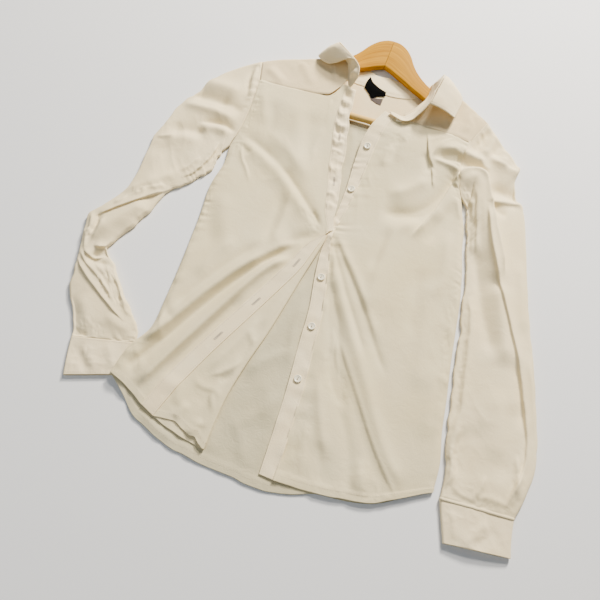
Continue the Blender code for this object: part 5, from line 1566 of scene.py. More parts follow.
LEFT_SLEEVE_CREASES = (
    # height, width, sharp, lean, points, with the arch of cloth that rises from the armpit first
    (4.6, 12, 0, 0, (176, 250), (178, 268), (184, 279), (192, 272), (200, 254), (209, 232), (220, 206),
     (234, 176), (250, 140), (262, 110)),
    (4.2, 8, 0.95, 3, (266, 130), (246, 176), (232, 206), (220, 236), (211, 257), (203, 277), (197, 286),
     (187, 292), (176, 292)),
    (1.8, 6, 0.7, 0.8, (186, 266), (195, 250), (201, 230), (207, 206), (214, 178), (222, 146)),
    (3.2, 12, 0.1, 0, (196, 320), (222, 314), (262, 314)),
    (-5.2, 13, 0.1, 0, (206, 272), (232, 269), (268, 268)),
    (3.6, 12, 0.85, 0, (208, 242), (228, 248), (246, 255), (274, 262)),
    (-1.8, 8, 0.2, 0, (218, 240), (232, 234), (250, 230)),
    # the shoulder
    (-3.6, 8, 0.2, 0, (190, 384), (182, 358), (176, 336), (174, 314)),
    (3.0, 8, 0.3, 0, (202, 380), (196, 356), (191, 334), (186, 316)),
    (-2.6, 8, 0.2, 0, (212, 364), (206, 344), (204, 324)),
    (2.6, 9, 0.3, 0, (224, 352), (221, 334), (220, 316)),
    (-2.0, 8, 0.2, 0, (238, 338), (236, 326), (234, 312)),
    (1.8, 6, 0.4, 0, (196, 326), (210, 318), (232, 316)),
    (1.4, 5, 0.4, 0, (184, 320), (190, 308), (206, 300)),
    # small crumples in the armpit
    (-3.0, 5, 0.5, 0, (180, 244), (187, 226), (194, 206)),
    (2.4, 5, 0.6, 1, (186, 246), (195, 226), (202, 202)),
    (-2.6, 5, 0.4, 0, (193, 196), (199, 180), (207, 162)),
    (2.2, 5, 0.5, 0, (203, 200), (208, 176), (214, 150)),
    # down the sleeve
    (-2.6, 10, 0, 0, (214, 168), (225, 130), (238, 98), (250, 68), (264, 38), (282, 2)),
    (4.0, 12, 0, 0, (254, 124), (264, 100), (275, 70), (286, 38), (300, -6)),
    (3.2, 9, 0.92, 1.0, (213, 240), (228, 196), (242, 160), (262, 118), (280, 82), (298, 46), (316, 8),
     (333, -38), (346, -78), (352, -110), (350, -140), (344, -166), (338, -184)),
    (1.6, 9, 0.6, 0.6, (322, 30), (336, -6), (348, -38), (360, -82)),
    (-2.2, 8, 0.1, 0, (306, 20), (318, -10), (330, -44), (342, -84)),
    (1.6, 9, 0.2, 0, (282, 170), (292, 130), (302, 90), (312, 50)),
    (1.8, 6, 0.6, 0.6, (222, 92), (235, 60), (241, 30), (246, 0), (251, -40), (256, -80), (254, -105),
     (248, -132)),
    (-1.4, 5, 0.2, 0, (230, 50), (238, 0), (243, -40), (248, -80), (245, -116)),
    (2.6, 6, 0.4, 0, (258, -88), (258, -130), (263, -160), (262, -192)),
    (-2.0, 6, 0.2, 0, (266, -96), (266, -134), (271, -172)),
    (2.0, 15, 0, 0, (292, -30), (308, -80), (314, -140)),
    (-1.8, 13, 0, 0, (322, -40), (326, -100), (326, -160)),
    (-1.8, 11, 0, 0, (286, -80), (281, -130), (286, -178)),
    (2.0, 5, 0.5, 0, (338, -110), (346, -140), (353, -170)),
    (-1.8, 6, 0.2, 0, (344, -60), (352, -110), (350, -156)),
    (0.9, 5, 0.5, 0, (296, -185), (320, -177), (350, -180)),
    (0.9, 5, 0.5, 0, (266, -176), (282, -184), (304, -186)),
    (1.2, 4, 0.5, 0, (306, -150), (304, -168), (300, -184)),
)
RIGHT_CUFF_CREASES = (
    (-1.6, 9, 0.2, 0, (-276, -170), (-256, -184), (-236, -204)),
    (1.3, 8, 0.3, 0, (-264, -168), (-244, -180), (-224, -198)),
    (1.0, 8, 0.3, 0, (-232, -152), (-216, -170), (-204, -188)),
)
LEFT_CUFF_CREASES = (
    (1.2, 8, 0.3, 0, (326, -202), (312, -224), (298, -246)),
    (-1.0, 8, 0.2, 0, (336, -206), (322, -228), (312, -244)),
    (0.8, 6, 0.4, 0, (276, -204), (284, -224), (292, -242)),
)
SLEEVE_PATCHES = {
    # middle x and y, reach along and across, turn in degrees, crinkle size, height
    "right": (
        (-262, -72, 38, 18, -40, 6, 1.2), (-330, 0, 26, 9, 75, 7, 1.0), (-282, 88, 44, 9, 35, 8, 0.9),
        (-198, 300, 34, 7, 100, 7, 0.8), (-214, 178, 34, 7, 80, 7, 1.0), (-262, -140, 26, 10, -10, 9, 0.7)),
    "left": (
        (184, 236, 24, 9, 110, 7, 1.2), (196, 190, 30, 7, 110, 7, 1.0), (240, -20, 90, 10, 98, 9, 0.9),
        (258, -150, 44, 10, 92, 8, 0.9), (346, -140, 34, 9, 100, 8, 0.8), (310, -178, 10, 44, 90, 9, 0.5),
        (180, 350, 34, 8, 105, 9, 0.8)),
}
CUFF_PATCHES = ((-240, -185, 40, 22, 15, 13, 0.7), (310, -218, 46, 24, 0, 14, 0.5))
# place down the outer edge, how far it swells out there, and its reach
RIGHT_EDGE_BUMPS = ((318, 3, 9), (300, -3, 9), (272, 3, 8), (186, 2, 7), (20, 2, 9))
LEFT_EDGE_BUMPS = ((316, 8, 8), (296, -3, 9), (257, 5, 5))
SLEEVE_LENGTH = 560

# %% [markdown]
# A sleeve that lies flat is still a tube: a flat underside, a round fold at either edge and a slightly
# raised top. Drawing it ring by ring keeps both layers, so nothing looks cut open from the side.

# %% Flattened tubes


def armhole_shape(side, share):
    """Sideways bow of the armhole seam away from a straight line, from shoulder to armpit."""
    places = np.linspace(0, 1, 60)
    tip = LEFT_ARMPIT if side == "left" else RIGHT_ARMPIT
    x, y = side_edge(side, places * tip)
    shoulder = (181, 387) if side == "left" else (-208, 383)
    x = np.concatenate([[shoulder[0]], x])
    y = np.concatenate([[shoulder[1]], y])
    run = np.concatenate([[0], np.cumsum(np.hypot(np.diff(x), np.diff(y)))])
    run = run / run[-1]
    bow_x = np.interp(share, run, x) - (x[0] + (x[-1] - x[0]) * share)
    bow_y = np.interp(share, run, y) - (y[0] + (y[-1] - y[0]) * share)
    return bow_x, bow_y


def ring_profile(width, out_h, mid_h, in_h, thickness, counts):
    """Flattened ring as (place across, height) pairs, all of the middle of the cloth."""
    flat, edge, top = counts
    floor = thickness / 2
    rho_out = (out_h - thickness) / 2
    rho_in = (in_h - thickness) / 2
    crown = mid_h - (out_h + in_h) / 2
    down = np.linspace(0, 1, flat)
    turn = np.radians(np.linspace(-90, 90, edge + 2)[1:-1])
    up = np.linspace(1, 0, top)
    rise = 2 * (rho_out + (rho_in - rho_out) * up) + crown * np.sin(math.pi * up)
    across = np.concatenate([rho_out + (width - rho_out - rho_in) * down,
                             width - rho_in + rho_in * np.cos(turn),
                             rho_out + (width - rho_out - rho_in) * up,
                             rho_out - rho_out * np.cos(turn)])
    height = np.concatenate([floor + 0 * down, floor + rho_in * (1 + np.sin(turn)), floor + rise,
                             floor + rho_out * (1 - np.sin(turn))])
    return across, height


def draw_tube(columns, rows, thickness, counts, creases, side=None, seed=0, amount=1.0,
              edge_bumps=(), joined=()):
    """Fine rings along a flattened tube with the creases on its upper layer."""
    x = []
    y = []
    z = []
    shares = []
    places = np.linspace(0, 1, rows)
    for down in places:
        row = {name: float(along(values, down)) for name, values in columns.items()}
        out = np.array([row["out_x"], row["out_y"]])
        inner = np.array([row["in_x"], row["in_y"]])
        for at_y, size, reach in edge_bumps:
            away = (out - inner) / np.linalg.norm(out - inner)
            out = out + away * size * math.exp(-((row["out_y"] - at_y) / reach) ** 2)
        width = float(np.linalg.norm(inner - out))
        across, height = ring_profile(width, row["out_h"], row["mid_h"], row["in_h"], thickness, counts)
        share = across / width
        place = out + (inner - out) * share[:, None]
        if side:
            place = place + np.stack(armhole_shape(side, share), axis=1) * (1 - smooth(0, 0.22, down))
        x.append(place[:, 0])
        y.append(place[:, 1])
        z.append(height)
        shares.append(share)
    x, y, z, share = (np.array(grid) for grid in (x, y, z, shares))
    down = places[:, None]
    relief = relief_of(x, y, creases)
    shared = relief_of(x, y, joined)
    upper = smooth(0.35, 0.8, z / z.max(axis=1, keepdims=True))
    edges = smooth(0, 0.045, share) * smooth(0, 0.045, 1 - share)
    ends = smooth(0, 0.02, down) * smooth(0, 0.02, 1 - down)
    patches = SLEEVE_PATCHES[side] if side else CUFF_PATCHES
    bumps = relief.z + crinkled(x, y, patches, seed + 3) + amount * 1.3 * rumple(x, y, seed, 30)
    bumps = bumps * edges * ends + shared.z * edges
    if side:
        run = down * SLEEVE_LENGTH + 0 * x
        from_end = SLEEVE_LENGTH - run
        bumps = bumps + pucker(share * 180, run, 1.6, 11, seed + 7, 8) * edges * smooth(0, 2, run)
        bumps = bumps + pucker(share * 110, from_end, 1.4, 16, seed + 8, 8) * edges * smooth(0, 5, from_end)
        bumps = bumps + pucker(run, (1 - share) * 100, 1.2, 9, seed + 9, 8) * smooth(0, 0.03, 1 - share)
        crinkle = uneven(run, 0 * run, 15, seed + 11) * 1.6 + uneven(run, 0 * run, 7, seed + 12) * 0.7
        crinkle = crinkle * smooth(0, 0.08, down) * smooth(0, 0.04, 1 - down)
        bend = (share - 0.5) * 2
        x = x + crinkle * bend * (0.5 + 0.5 * (bend > 0))
    low = thickness / 2 + 1.6
    z = np.where(z > low, kept_above(low, z + bumps * upper), z)
    x = x + (relief.dx * ends + shared.dx) * upper * edges
    y = y + (relief.dy * ends + shared.dy) * upper * edges
    return np.stack([x, y, z], axis=2)

# %% [markdown]
# The cloth of a sleeve runs a little way under its neighbours, as a seam allowance does. A cuff is
# the same kind of tube, shorter and of thicker cloth.

# %% Make the sleeves and cuffs
SLEEVE_ROWS = 250
SLEEVE_COUNTS = (16, 6, 94)
CUFF_ROWS = 40
CUFF_COUNTS = (26, 9, 60)
sleeve_gap = np.array([0.6, 0, 0])

tube = draw_tube(RIGHT_SLEEVE, SLEEVE_ROWS, CLOTH, SLEEVE_COUNTS, RIGHT_SLEEVE_CREASES, "right", 201,
                 edge_bumps=RIGHT_EDGE_BUMPS) - sleeve_gap
tube = tuck(tuck(tube, "first row", 0.5, True), "last row", 0.6, True, 4)
piece = cloth("right_sleeve_cloth", "right_sleeve", tube, CLOTH, SLEEVE_COTTON_PAINTED_LIGHT, closed=True)

tube = draw_tube(LEFT_SLEEVE, SLEEVE_ROWS, CLOTH, SLEEVE_COUNTS, LEFT_SLEEVE_CREASES, "left", 221,
                 edge_bumps=LEFT_EDGE_BUMPS, joined=LEFT_SHOULDER_CREASES) + sleeve_gap
tube = tuck(tuck(tube, "first row", 0.5, True), "last row", 0.6, True, 4)
piece = cloth("left_sleeve_cloth", "left_sleeve", tube, CLOTH, SLEEVE_COTTON_PAINTED_LIGHT, closed=True)

tube = draw_tube(RIGHT_CUFF, CUFF_ROWS, BAND, CUFF_COUNTS, RIGHT_CUFF_CREASES, seed=241, amount=0.25)
piece = cloth("right_cuff_band", "right_cuff", tube, BAND, BAND_COTTON_DOUBLED_PAINTED_LIGHT, closed=True)

tube = draw_tube(LEFT_CUFF, CUFF_ROWS, BAND, CUFF_COUNTS, LEFT_CUFF_CREASES, seed=251, amount=0.4)
piece = cloth("left_cuff_band", "left_cuff", tube, BAND, BAND_COTTON_DOUBLED_PAINTED_LIGHT, closed=True)

# %% [markdown]
# Two bare ribbons lie in the neck: the black label, stitched down along its two ends, and a grey
# care label that comes out from under it.

# %% Labels


def ribbon_finish(name, colour, roughness):
    """Ribbon with fine crossways ribs."""
    made, tree, shader = new_finish(name, Specular_IOR_Level=0.04)
    place = tree.nodes.new("ShaderNodeTexCoord")
    split = tree.nodes.new("ShaderNodeSeparateXYZ")
    tree.links.new(place.outputs["UV"], split.inputs[0])
    ribs = math_node(tree, "SINE", math_node(tree, "MULTIPLY", split.outputs["Y"], 9000.0))
    grain = noise_node(tree, place.outputs["Object"], 500.0, 3.0)
    brighter = tuple(c * 1.6 + 0.0006 for c in colour)
    tree.links.new(mix_colours(tree, grain, colour, brighter), shader.inputs["Base Color"])
    tree.links.new(math_node(tree, "MULTIPLY_ADD", grain, 0.2, roughness), shader.inputs["Roughness"])
    ribbed = math_node(tree, "MULTIPLY_ADD", ribs, 0.5, grain)
    tree.links.new(bump_node(tree, ribbed, Distance=0.00008), shader.inputs["Normal"])
    return made


def finer(coarse, rows, columns):
    """Smooth fine grid through a coarse grid of points."""
    coarse = np.array(coarse, float)
    down = np.linspace(0, 1, rows)
    across = np.linspace(0, 1, columns)
    fine = np.empty((rows, columns, 3))
    for axis in range(3):
        tall = np.stack([along(coarse[:, j, axis], down) for j in range(coarse.shape[1])], axis=1)
        fine[..., axis] = np.stack([along(row, across) for row in tall])
    return fine


LABEL = finer([[(-27, 422, 3.9), (-20, 412, 4.2), (-14, 408, 4.3), (-6, 403.5, 4.2), (7, 399, 3.9)],
               [(-30, 409, 4.6), (-21, 400, 4.9), (-13, 396, 4.9), (-5, 395.5, 4.8), (7.5, 395, 4.2)],
               [(-30, 397, 2.7), (-20, 388.5, 2.8), (-12, 381, 2.9), (-4, 387, 2.9), (8, 391, 2.8)]], 44, 60)
CARE_LABEL = finer([[(-17, 385.5, 2.0), (-5, 383, 2.0), (6, 386, 2.0)],
                    [(-14, 380, 2.0), (-4, 377.5, 2.0), (6, 380, 2.0)],
                    [(-12, 377, 2.0), (-3, 373.5, 2.0), (6, 372, 2.0)]], 24, 30)
BLACK_RIBBON = ribbon_finish("Black ribbon", (0.0012, 0.0012, 0.0012), 0.9)
GREY_RIBBON = ribbon_finish("Grey ribbon", (0.07, 0.055, 0.048), 0.5)
piece = cloth("black_label", "label", LABEL, 0.7, BLACK_RIBBON)
piece = cloth("grey_label", "care_label", CARE_LABEL, 0.7, GREY_RIBBON)

# %% [markdown]
# The buttons are turned discs: a rounded rim, a shallow dish and two holes. One disc is drawn round
# the origin, its holes are cut with a boolean, and it is then set on the cloth seven times.

# %% Buttons
BUTTON_PROFILE = (
    # radius and height above the cloth, from underneath round the rim to the dish
    (0.0, 0.3), (3.4, 0.3), (4.6, 0.35), (5.15, 0.6), (5.5, 1.05), (5.6, 1.5), (5.5, 1.95),
    (5.2, 2.28), (4.8, 2.42), (4.35, 2.4), (3.95, 2.18), (3.6, 1.98), (3.0, 1.88), (0.0, 1.84))
HOLE_RADIUS = 0.85
HOLE_PLACE = 1.5
BUTTON_STEPS = 48


def pearl_finish():
    """Pale plastic with clouds of a second tone and a thin gloss."""
    made, tree, shader = new_finish("Pearl plastic", Coat_Weight=0.2, Coat_Roughness=0.15)
    place = tree.nodes.new("ShaderNodeTexCoord")
    cloud = noise_node(tree, place.outputs["Object"], 240.0, 3.0, 0.6, 2.0)
    colour = mix_colours(tree, cloud, (0.86, 0.775, 0.55), (0.96, 0.895, 0.69))
    tree.links.new(colour, shader.inputs["Base Color"])
    tree.links.new(math_node(tree, "MULTIPLY_ADD", cloud, 0.15, 0.2), shader.inputs["Roughness"])
    return made


PEARL = pearl_finish()


def turned(profile, steps):
    """Points and faces of a profile turned round the Z axis, on which it starts and ends."""
    turns = np.linspace(0, 2 * math.pi, steps, endpoint=False)
    vertices = [(0, 0, profile[0][1])]
    for radius, height in profile[1:-1]:
        vertices += [(radius * math.cos(a), radius * math.sin(a), height) for a in turns]
    vertices.append((0, 0, profile[-1][1]))
    rings = len(profile) - 2
    faces = []
    for k in range(steps):
        after = (k + 1) % steps
        faces.append((0, 1 + after, 1 + k))
        for ring in range(rings - 1):
            low = 1 + ring * steps
            faces.append((low + k, low + after, low + steps + after, low + steps + k))
        top = 1 + (rings - 1) * steps
        faces.append((top + k, top + after, len(vertices) - 1))
    return np.array(vertices, float), faces


def button_shape():
    """The disc with its two holes, as points and faces round the origin."""
    vertices, faces = turned(BUTTON_PROFILE, BUTTON_STEPS)
    mesh = bpy.data.meshes.new("button")
    mesh.from_pydata(vertices.tolist(), [], faces)
    disc = bpy.data.objects.new("button", mesh)
    bpy.context.collection.objects.link(disc)
    for end in (-1, 1):
        bpy.ops.mesh.primitive_cylinder_add(
            vertices=20, radius=HOLE_RADIUS, depth=6, location=(end * HOLE_PLACE, 0, 1))
        pin = bpy.context.object
        cut = disc.modifiers.new("hole", "BOOLEAN")
        cut.object = pin
        cut.solver = "EXACT"
        result = bpy.data.meshes.new_from_object(disc.evaluated_get(bpy.context.evaluated_depsgraph_get()))
        disc.modifiers.clear()
        disc.data = result
        bpy.data.objects.remove(pin, do_unlink=True)
    vertices = np.array([vertex.co[:] for vertex in disc.data.vertices])
    faces = [tuple(face.vertices) for face in disc.data.polygons]
    bpy.data.objects.remove(disc, do_unlink=True)
    return vertices, faces

# %% [markdown]
# Each button is tilted to the slope of the cloth under it, and held by two short threads across its
# holes. A thread is a thin rod that is bowed in the middle.

# %% Sew the buttons on


def strand(start, end, lift, radius=0.3, sides=8, steps=9):
    """A short bowed thread from one point to another, as points and faces."""
    start = np.asarray(start, float)
    end = np.asarray(end, float)
    share = np.linspace(0, 1, steps)
    spine = start + (end - start) * share[:, None]
    spine[:, 2] += lift * np.sin(math.pi * share)
    across = np.array([-(end - start)[1], (end - start)[0], 0]) / np.linalg.norm(end - start)
    angle = np.linspace(0, 2 * math.pi, sides, endpoint=False)
    ring = across[None] * np.cos(angle)[:, None] + np.array([[0, 0, 1]]) * np.sin(angle)[:, None]
    vertices = (spine[:, None] + ring[None] * radius).reshape(-1, 3)
    faces = [tuple(range(sides))[::-1], tuple(range((steps - 1) * sides, steps * sides))]
    for i in range(steps - 1):
        for j in range(sides):
            k = (j + 1) % sides
            faces.append((i * sides + j, i * sides + k, (i + 1) * sides + k, (i + 1) * sides + j))
    return vertices, faces


def set_on(vertices, centre, normal, turn):
    """Points around the origin moved onto the cloth: Z becomes the cloth's normal."""
    normal = np.asarray(normal, float) / np.linalg.norm(normal)
    side = np.cross(normal, (math.sin(turn), -math.cos(turn), 0.3))
    side = side / np.linalg.norm(side)
    other = np.cross(normal, side)
    return centre + vertices[:, :1] * other + vertices[:, 1:2] * -side + vertices[:, 2:] * normal


def finish_edges(piece, degrees=35):
    """Keeps crisp edges crisp on a smooth-shaded piece."""
    piece.data.set_sharp_from_angle(angle=math.radians(degrees))


def sew_button(node, centre, normal, turn):
    """One button in place of its CAD node, with two threads across its holes."""
    vertices, faces = BUTTON_SHAPE
    piece = make_mesh(node + "_disc", set_on(vertices, centre, normal, turn), faces, PEARL)
    finish_edges(piece)
    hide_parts(node)
    for number, shift in enumerate((-0.28, 0.3)):
        points, sides = strand((-HOLE_PLACE, shift, 1.5), (HOLE_PLACE, shift, 1.5), 0.75)
        make_mesh(f"{node}_thread_{number + 1}", set_on(points, centre, normal, turn), sides, THREAD_AND_SEAM_SHADE)


def slope_normal(down):
    """Upward normal of the left placket at one place."""
    step = 0.01
    middle = np.array([[0.5]])
    above = np.array([value[0, 0] for value in left_placket_point(down - step, middle)])
    below = np.array([value[0, 0] for value in left_placket_point(down + step, middle)])
    left = np.array([value[0, 0] for value in left_placket_point(down, middle - 0.4)])
    right = np.array([value[0, 0] for value in left_placket_point(down, middle + 0.4)])
    normal = np.cross(right - left, above - below)
    return normal / np.linalg.norm(normal)


def row_of(column, value):
    """Place down a table whose column falls from top to bottom, for one value of it."""
    places = np.linspace(0, 1, 801)
    return float(places[np.argmin(abs(along(column, places) - value))])


BUTTON_SHAPE = button_shape()
for number, y in enumerate(BUTTON_Y):
    down = np.array([[row_of(LEFT_PLACKET["edge_y"], y)]])
    middle_of_band = 0.22 if number == FASTENED else 0.5
    spot = [float(value[0, 0]) for value in left_placket_point(down, np.array([[middle_of_band]]))]
    centre = np.array([spot[0], spot[1], spot[2] + BAND / 2 + 0.6 * under_twist(spot[0], spot[1])])
    sew_button(f"button_{number + 1}", centre, slope_normal(down), 0.15 * (-1) ** number)
stand = stand_grid(np.linspace(0, 1, 2 * COLLAR_LAST + 1), np.linspace(0, 1, 5))
button_row = len(stand) - 4
outward = grid_normals(stand)[button_row, 2]
sew_button("button_stand", stand[button_row, 2] + outward * (BAND / 2 + 0.75), outward, 0.4)
print("buttons", len(BUTTON_Y) + 1, "faces each", len(BUTTON_SHAPE[1]))

# %% [markdown]
# The hanger is wood: two flat arms with rounded edges, mitred in the middle, and a dowel between
# their ends. Its grain runs along each part, so each part's map has its length in V.

# %% Hanger
HANGER_TOP = table(
    "from_middle y", (0.3, 502), (12, 500), (25, 492), (36, 479.5), (44, 465.5), (52, 453.5), (61, 443.5),
    (71, 434.5), (86, 424), (110, 413.5), (132, 405), (150, 397.5), (162, 391), (171, 382))
HANGER_LOWER = table(
    "from_middle y", (0.3, 442.4), (12, 437.5), (25, 430), (36, 424), (44, 419.5), (52, 415), (61, 410),
    (71, 405), (86, 396.5), (110, 383), (132, 369), (150, 356), (162, 346), (171, 341))
HANGER_LOW = 3.5
HANGER_THICK = 10.4
HANGER_ROUND = 3.4
BAR_HALF = 166.0
BAR_RADIUS = 5.2
BAR_Y = 330.0


def wood_finish(name, light, dark):
    """Planed wood with long fine grain and a thin satin varnish."""
    made, tree, shader = new_finish(name, Specular_IOR_Level=0.05)
    place = tree.nodes.new("ShaderNodeTexCoord")
    broad, fine, finest = (noise_node(tree, stretched(tree, place, stretch), 1.0, 3.0, 0.55, 0.8)
                           for stretch in ((160, 9, 1), (900, 30, 1), (3000, 60, 1)))
    bands = math_node(tree, "MULTIPLY_ADD", broad, 2.2, -0.6)
    mixed = math_node(tree, "ADD", bands, math_node(tree, "MULTIPLY_ADD", fine, 0.7, -0.35))
    tree.links.new(mix_colours(tree, mixed, light, dark), shader.inputs["Base Color"])
    tree.links.new(math_node(tree, "MULTIPLY_ADD", fine, 0.2, 0.4), shader.inputs["Roughness"])
    grain = math_node(tree, "ADD", fine, finest)
    tree.links.new(bump_node(tree, grain, Distance=0.00012), shader.inputs["Normal"])
    return made


WOOD = wood_finish("Beech", (0.51, 0.255, 0.015), (0.32, 0.135, 0.002))
# The dowel is the same beech as the arms, drawn lighter: painted light against the shadow that falls on it.
DOWEL_WOOD_PAINTED_LIGHT = wood_finish("Beech, painted lighter", (0.76, 0.50, 0.16), (0.64, 0.38, 0.09))

# %% [markdown]
# A bar is easiest to make as rings of points joined up along its length. The rounded edges are part
# of each ring, so they catch the light.

# %% Shape the hanger


def swept(name, node, rings, material, lengths):
    """A closed bar from rings of points, with the place of each ring along it in mm."""
    rings = np.array(rings)
    count, sides = rings.shape[:2]
    vertices = rings.reshape(-1, 3)
    faces = []
    for i in range(count - 1):
        for j in range(sides):
            a = i * sides + j
            b = i * sides + (j + 1) % sides
            faces.append((a, b, b + sides, a + sides))
    ends = [rings[0].mean(axis=0), rings[-1].mean(axis=0)]
    vertices = np.concatenate([vertices, ends])
    for j in range(sides):
        k = (j + 1) % sides
        faces.append((j, len(vertices) - 2, k))
        faces.append(((count - 1) * sides + k, len(vertices) - 1, (count - 1) * sides + j))
    steps = np.linalg.norm(np.roll(rings[0], -1, axis=0) - rings[0], axis=1)
    round_it = np.concatenate([[0], np.cumsum(steps)[:-1]])
    uv = np.stack([np.tile(round_it, count), np.repeat(lengths, sides)], axis=1)
    uv = np.concatenate([uv, [[0, lengths[0]], [0, lengths[-1]]]]) * MM
    piece = make_mesh(name, vertices, faces, material, uv)
    mesh = bmesh.new()
    mesh.from_mesh(piece.data)
    bmesh.ops.recalc_face_normals(mesh, faces=mesh.faces)
    mesh.to_mesh(piece.data)
    mesh.free()
    finish_edges(piece, 50)
    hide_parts(node)


ARM_RINGS = 110
ARM_MAP_SHIFT = 400
BAR_RINGS = 60
BAR_SIDES = 40
BAR_MAP_SHIFT = 900


def draw_arm(side, node):
    """One arm of the hanger, from the mitre to its tip, on the side -1 or 1."""
    rings = []
    high = HANGER_LOW + HANGER_THICK
    places = np.linspace(0, 1, ARM_RINGS)
    top, low = (np.stack([along(edge["from_middle"], places), along(edge["y"], places)], axis=1)
                for edge in (HANGER_TOP, HANGER_LOWER))
    for upper, lower in zip(top, low):
        face = (upper - lower) / np.linalg.norm(upper - lower)
        section = []
        corners = ((upper, -1, high, -1, 90), (upper, -1, HANGER_LOW, 1, 0), (lower, 1, HANGER_LOW, 1, 270),
                   (lower, 1, high, -1, 180))
        for edge, away, level, into, start in corners:
            centre = edge + face * HANGER_ROUND * away
            for angle in np.radians(np.linspace(start, start - 90, 7)):
                flat = centre + face * HANGER_ROUND * math.cos(angle)
                height = level + HANGER_ROUND * into + HANGER_ROUND * math.sin(angle)
                section.append((HANGER_MIDDLE_X + side * flat[0], flat[1], height))
        rings.append(section)
    steps = np.hypot(*np.diff((top + low) / 2, axis=0).T)
    lengths = np.concatenate([[0], np.cumsum(steps)]) + ARM_MAP_SHIFT * (side > 0)
    swept(node + "_arm", node, rings, WOOD, lengths)


draw_arm(-1, "hanger_right")
draw_arm(1, "hanger_left")
bar_places = np.linspace(HANGER_MIDDLE_X - BAR_HALF, HANGER_MIDDLE_X + BAR_HALF, BAR_RINGS)
bar_turns = np.linspace(0, 2 * math.pi, BAR_SIDES, endpoint=False)
bar_z = HANGER_LOW + HANGER_THICK / 2
bar_rings = [[(x, BAR_Y + BAR_RADIUS * math.cos(a), bar_z + BAR_RADIUS * math.sin(a)) for a in bar_turns]
             for x in bar_places]
swept("hanger_dowel", "hanger_bar", bar_rings, DOWEL_WOOD_PAINTED_LIGHT, bar_places + BAR_MAP_SHIFT)

# %% [markdown]
# Sewing. Every stitch of the visible seams is a tiny thread lying on the cloth with its ends pulled
# in. A line of them runs along a seam at a fixed distance from one side of a sheet's grid.

# %% Stitches
STITCH = 2.5
STITCH_GAP = 0.9
STITCH_RADIUS = 0.21
STITCH_SIDES = 4
HEM_INSET = 8.2
CUFF_TOP_INSET = 2.4
CUFF_LOW_INSET = 3.2
LABEL_INSET = 1.2
STITCH_SHAPE = (
    # place along the stitch (share of its half length), share of its radius, and lift in mm
    (-1.0, 0.5, -0.2), (-0.4, 1.0, 0.06), (0.4, 1.0, 0.06), (1.0, 0.5, -0.2))


def inset_path(name, side, inset, face=1, start=0.0, end=1.0):
    """Points and normals on a face of a sheet, inset mm from one side of its grid."""
    middle, normal, half = GRIDS[name]
    surface = seen_from(middle + normal * half[..., None] * face, side).transpose(1, 0, 2)
    outward = seen_from(normal * face, side).transpose(1, 0, 2)
    run = measured(surface, 1)
    last = len(run) - 1
    rows = range(int(start * last), int(end * last) + 1)
    points = [[np.interp(inset, run[row], surface[row, :, axis]) for axis in range(3)] for row in rows]
    normals = [[np.interp(inset, run[row], outward[row, :, axis]) for axis in range(3)] for row in rows]
    return np.array(points), np.array(normals)


def read_path(run, values, place):
    """A path's point or normal at one distance along it."""
    return np.array([np.interp(place, run, values[:, axis]) for axis in range(3)])


def stitch_line(name, paths, length=STITCH, gap=STITCH_GAP, radius=STITCH_RADIUS, colour=THREAD_AND_SEAM_SHADE):
    """One piece with all the stitches along some paths of points and normals."""
    vertices = []
    faces = []
    angles = np.arange(STITCH_SIDES) * 2 * math.pi / STITCH_SIDES
    rings = len(STITCH_SHAPE)
    for points, normals in paths:
        steps = np.linalg.norm(np.diff(points, axis=0), axis=1)
        run = np.concatenate([[0], np.cumsum(steps)])
        count = int(run[-1] / (length + gap))
        if count < 1:
            continue
        centres = (np.arange(count) + 0.5) * run[-1] / count
        centres = centres + 0.25 * uneven(centres, points[0, 0] + 0 * centres, 3.1, 301)
        for centre in centres:
            first = len(vertices) * STITCH_SIDES
            middle = read_path(run, points, centre)
            ahead = read_path(run, points, centre + length / 2) - read_path(run, points, centre - length / 2)
            ahead = ahead / max(np.linalg.norm(ahead), 1e-6)
            up = read_path(run, normals, centre)
            up = up / max(np.linalg.norm(up), 1e-6)
            side = np.cross(ahead, up)
            for place, share, lift in STITCH_SHAPE:
                spot = middle + ahead * place * length / 2 + up * lift
                ring = np.cos(angles)[:, None] * side + np.sin(angles)[:, None] * up
                vertices.append(spot + radius * share * ring)
            for k in range(rings - 1):
                for j in range(STITCH_SIDES):
                    a = first + k * STITCH_SIDES + j
                    b = first + k * STITCH_SIDES + (j + 1) % STITCH_SIDES
                    faces.append((a, b, b + STITCH_SIDES, a + STITCH_SIDES))
            faces.append(tuple(range(first, first + STITCH_SIDES))[::-1])
            last = first + (rings - 1) * STITCH_SIDES
            faces.append(tuple(range(last, last + STITCH_SIDES)))
    make_mesh(name, np.concatenate(vertices), faces, colour)
    print(name, "stitches", len(faces) // (STITCH_SIDES * (rings - 1) + 2))


def both_faces(name, side, inset, **limits):
    """The same line on the two faces of a sheet."""
    return [inset_path(name, side, inset, face, **limits) for face in (1, -1)]


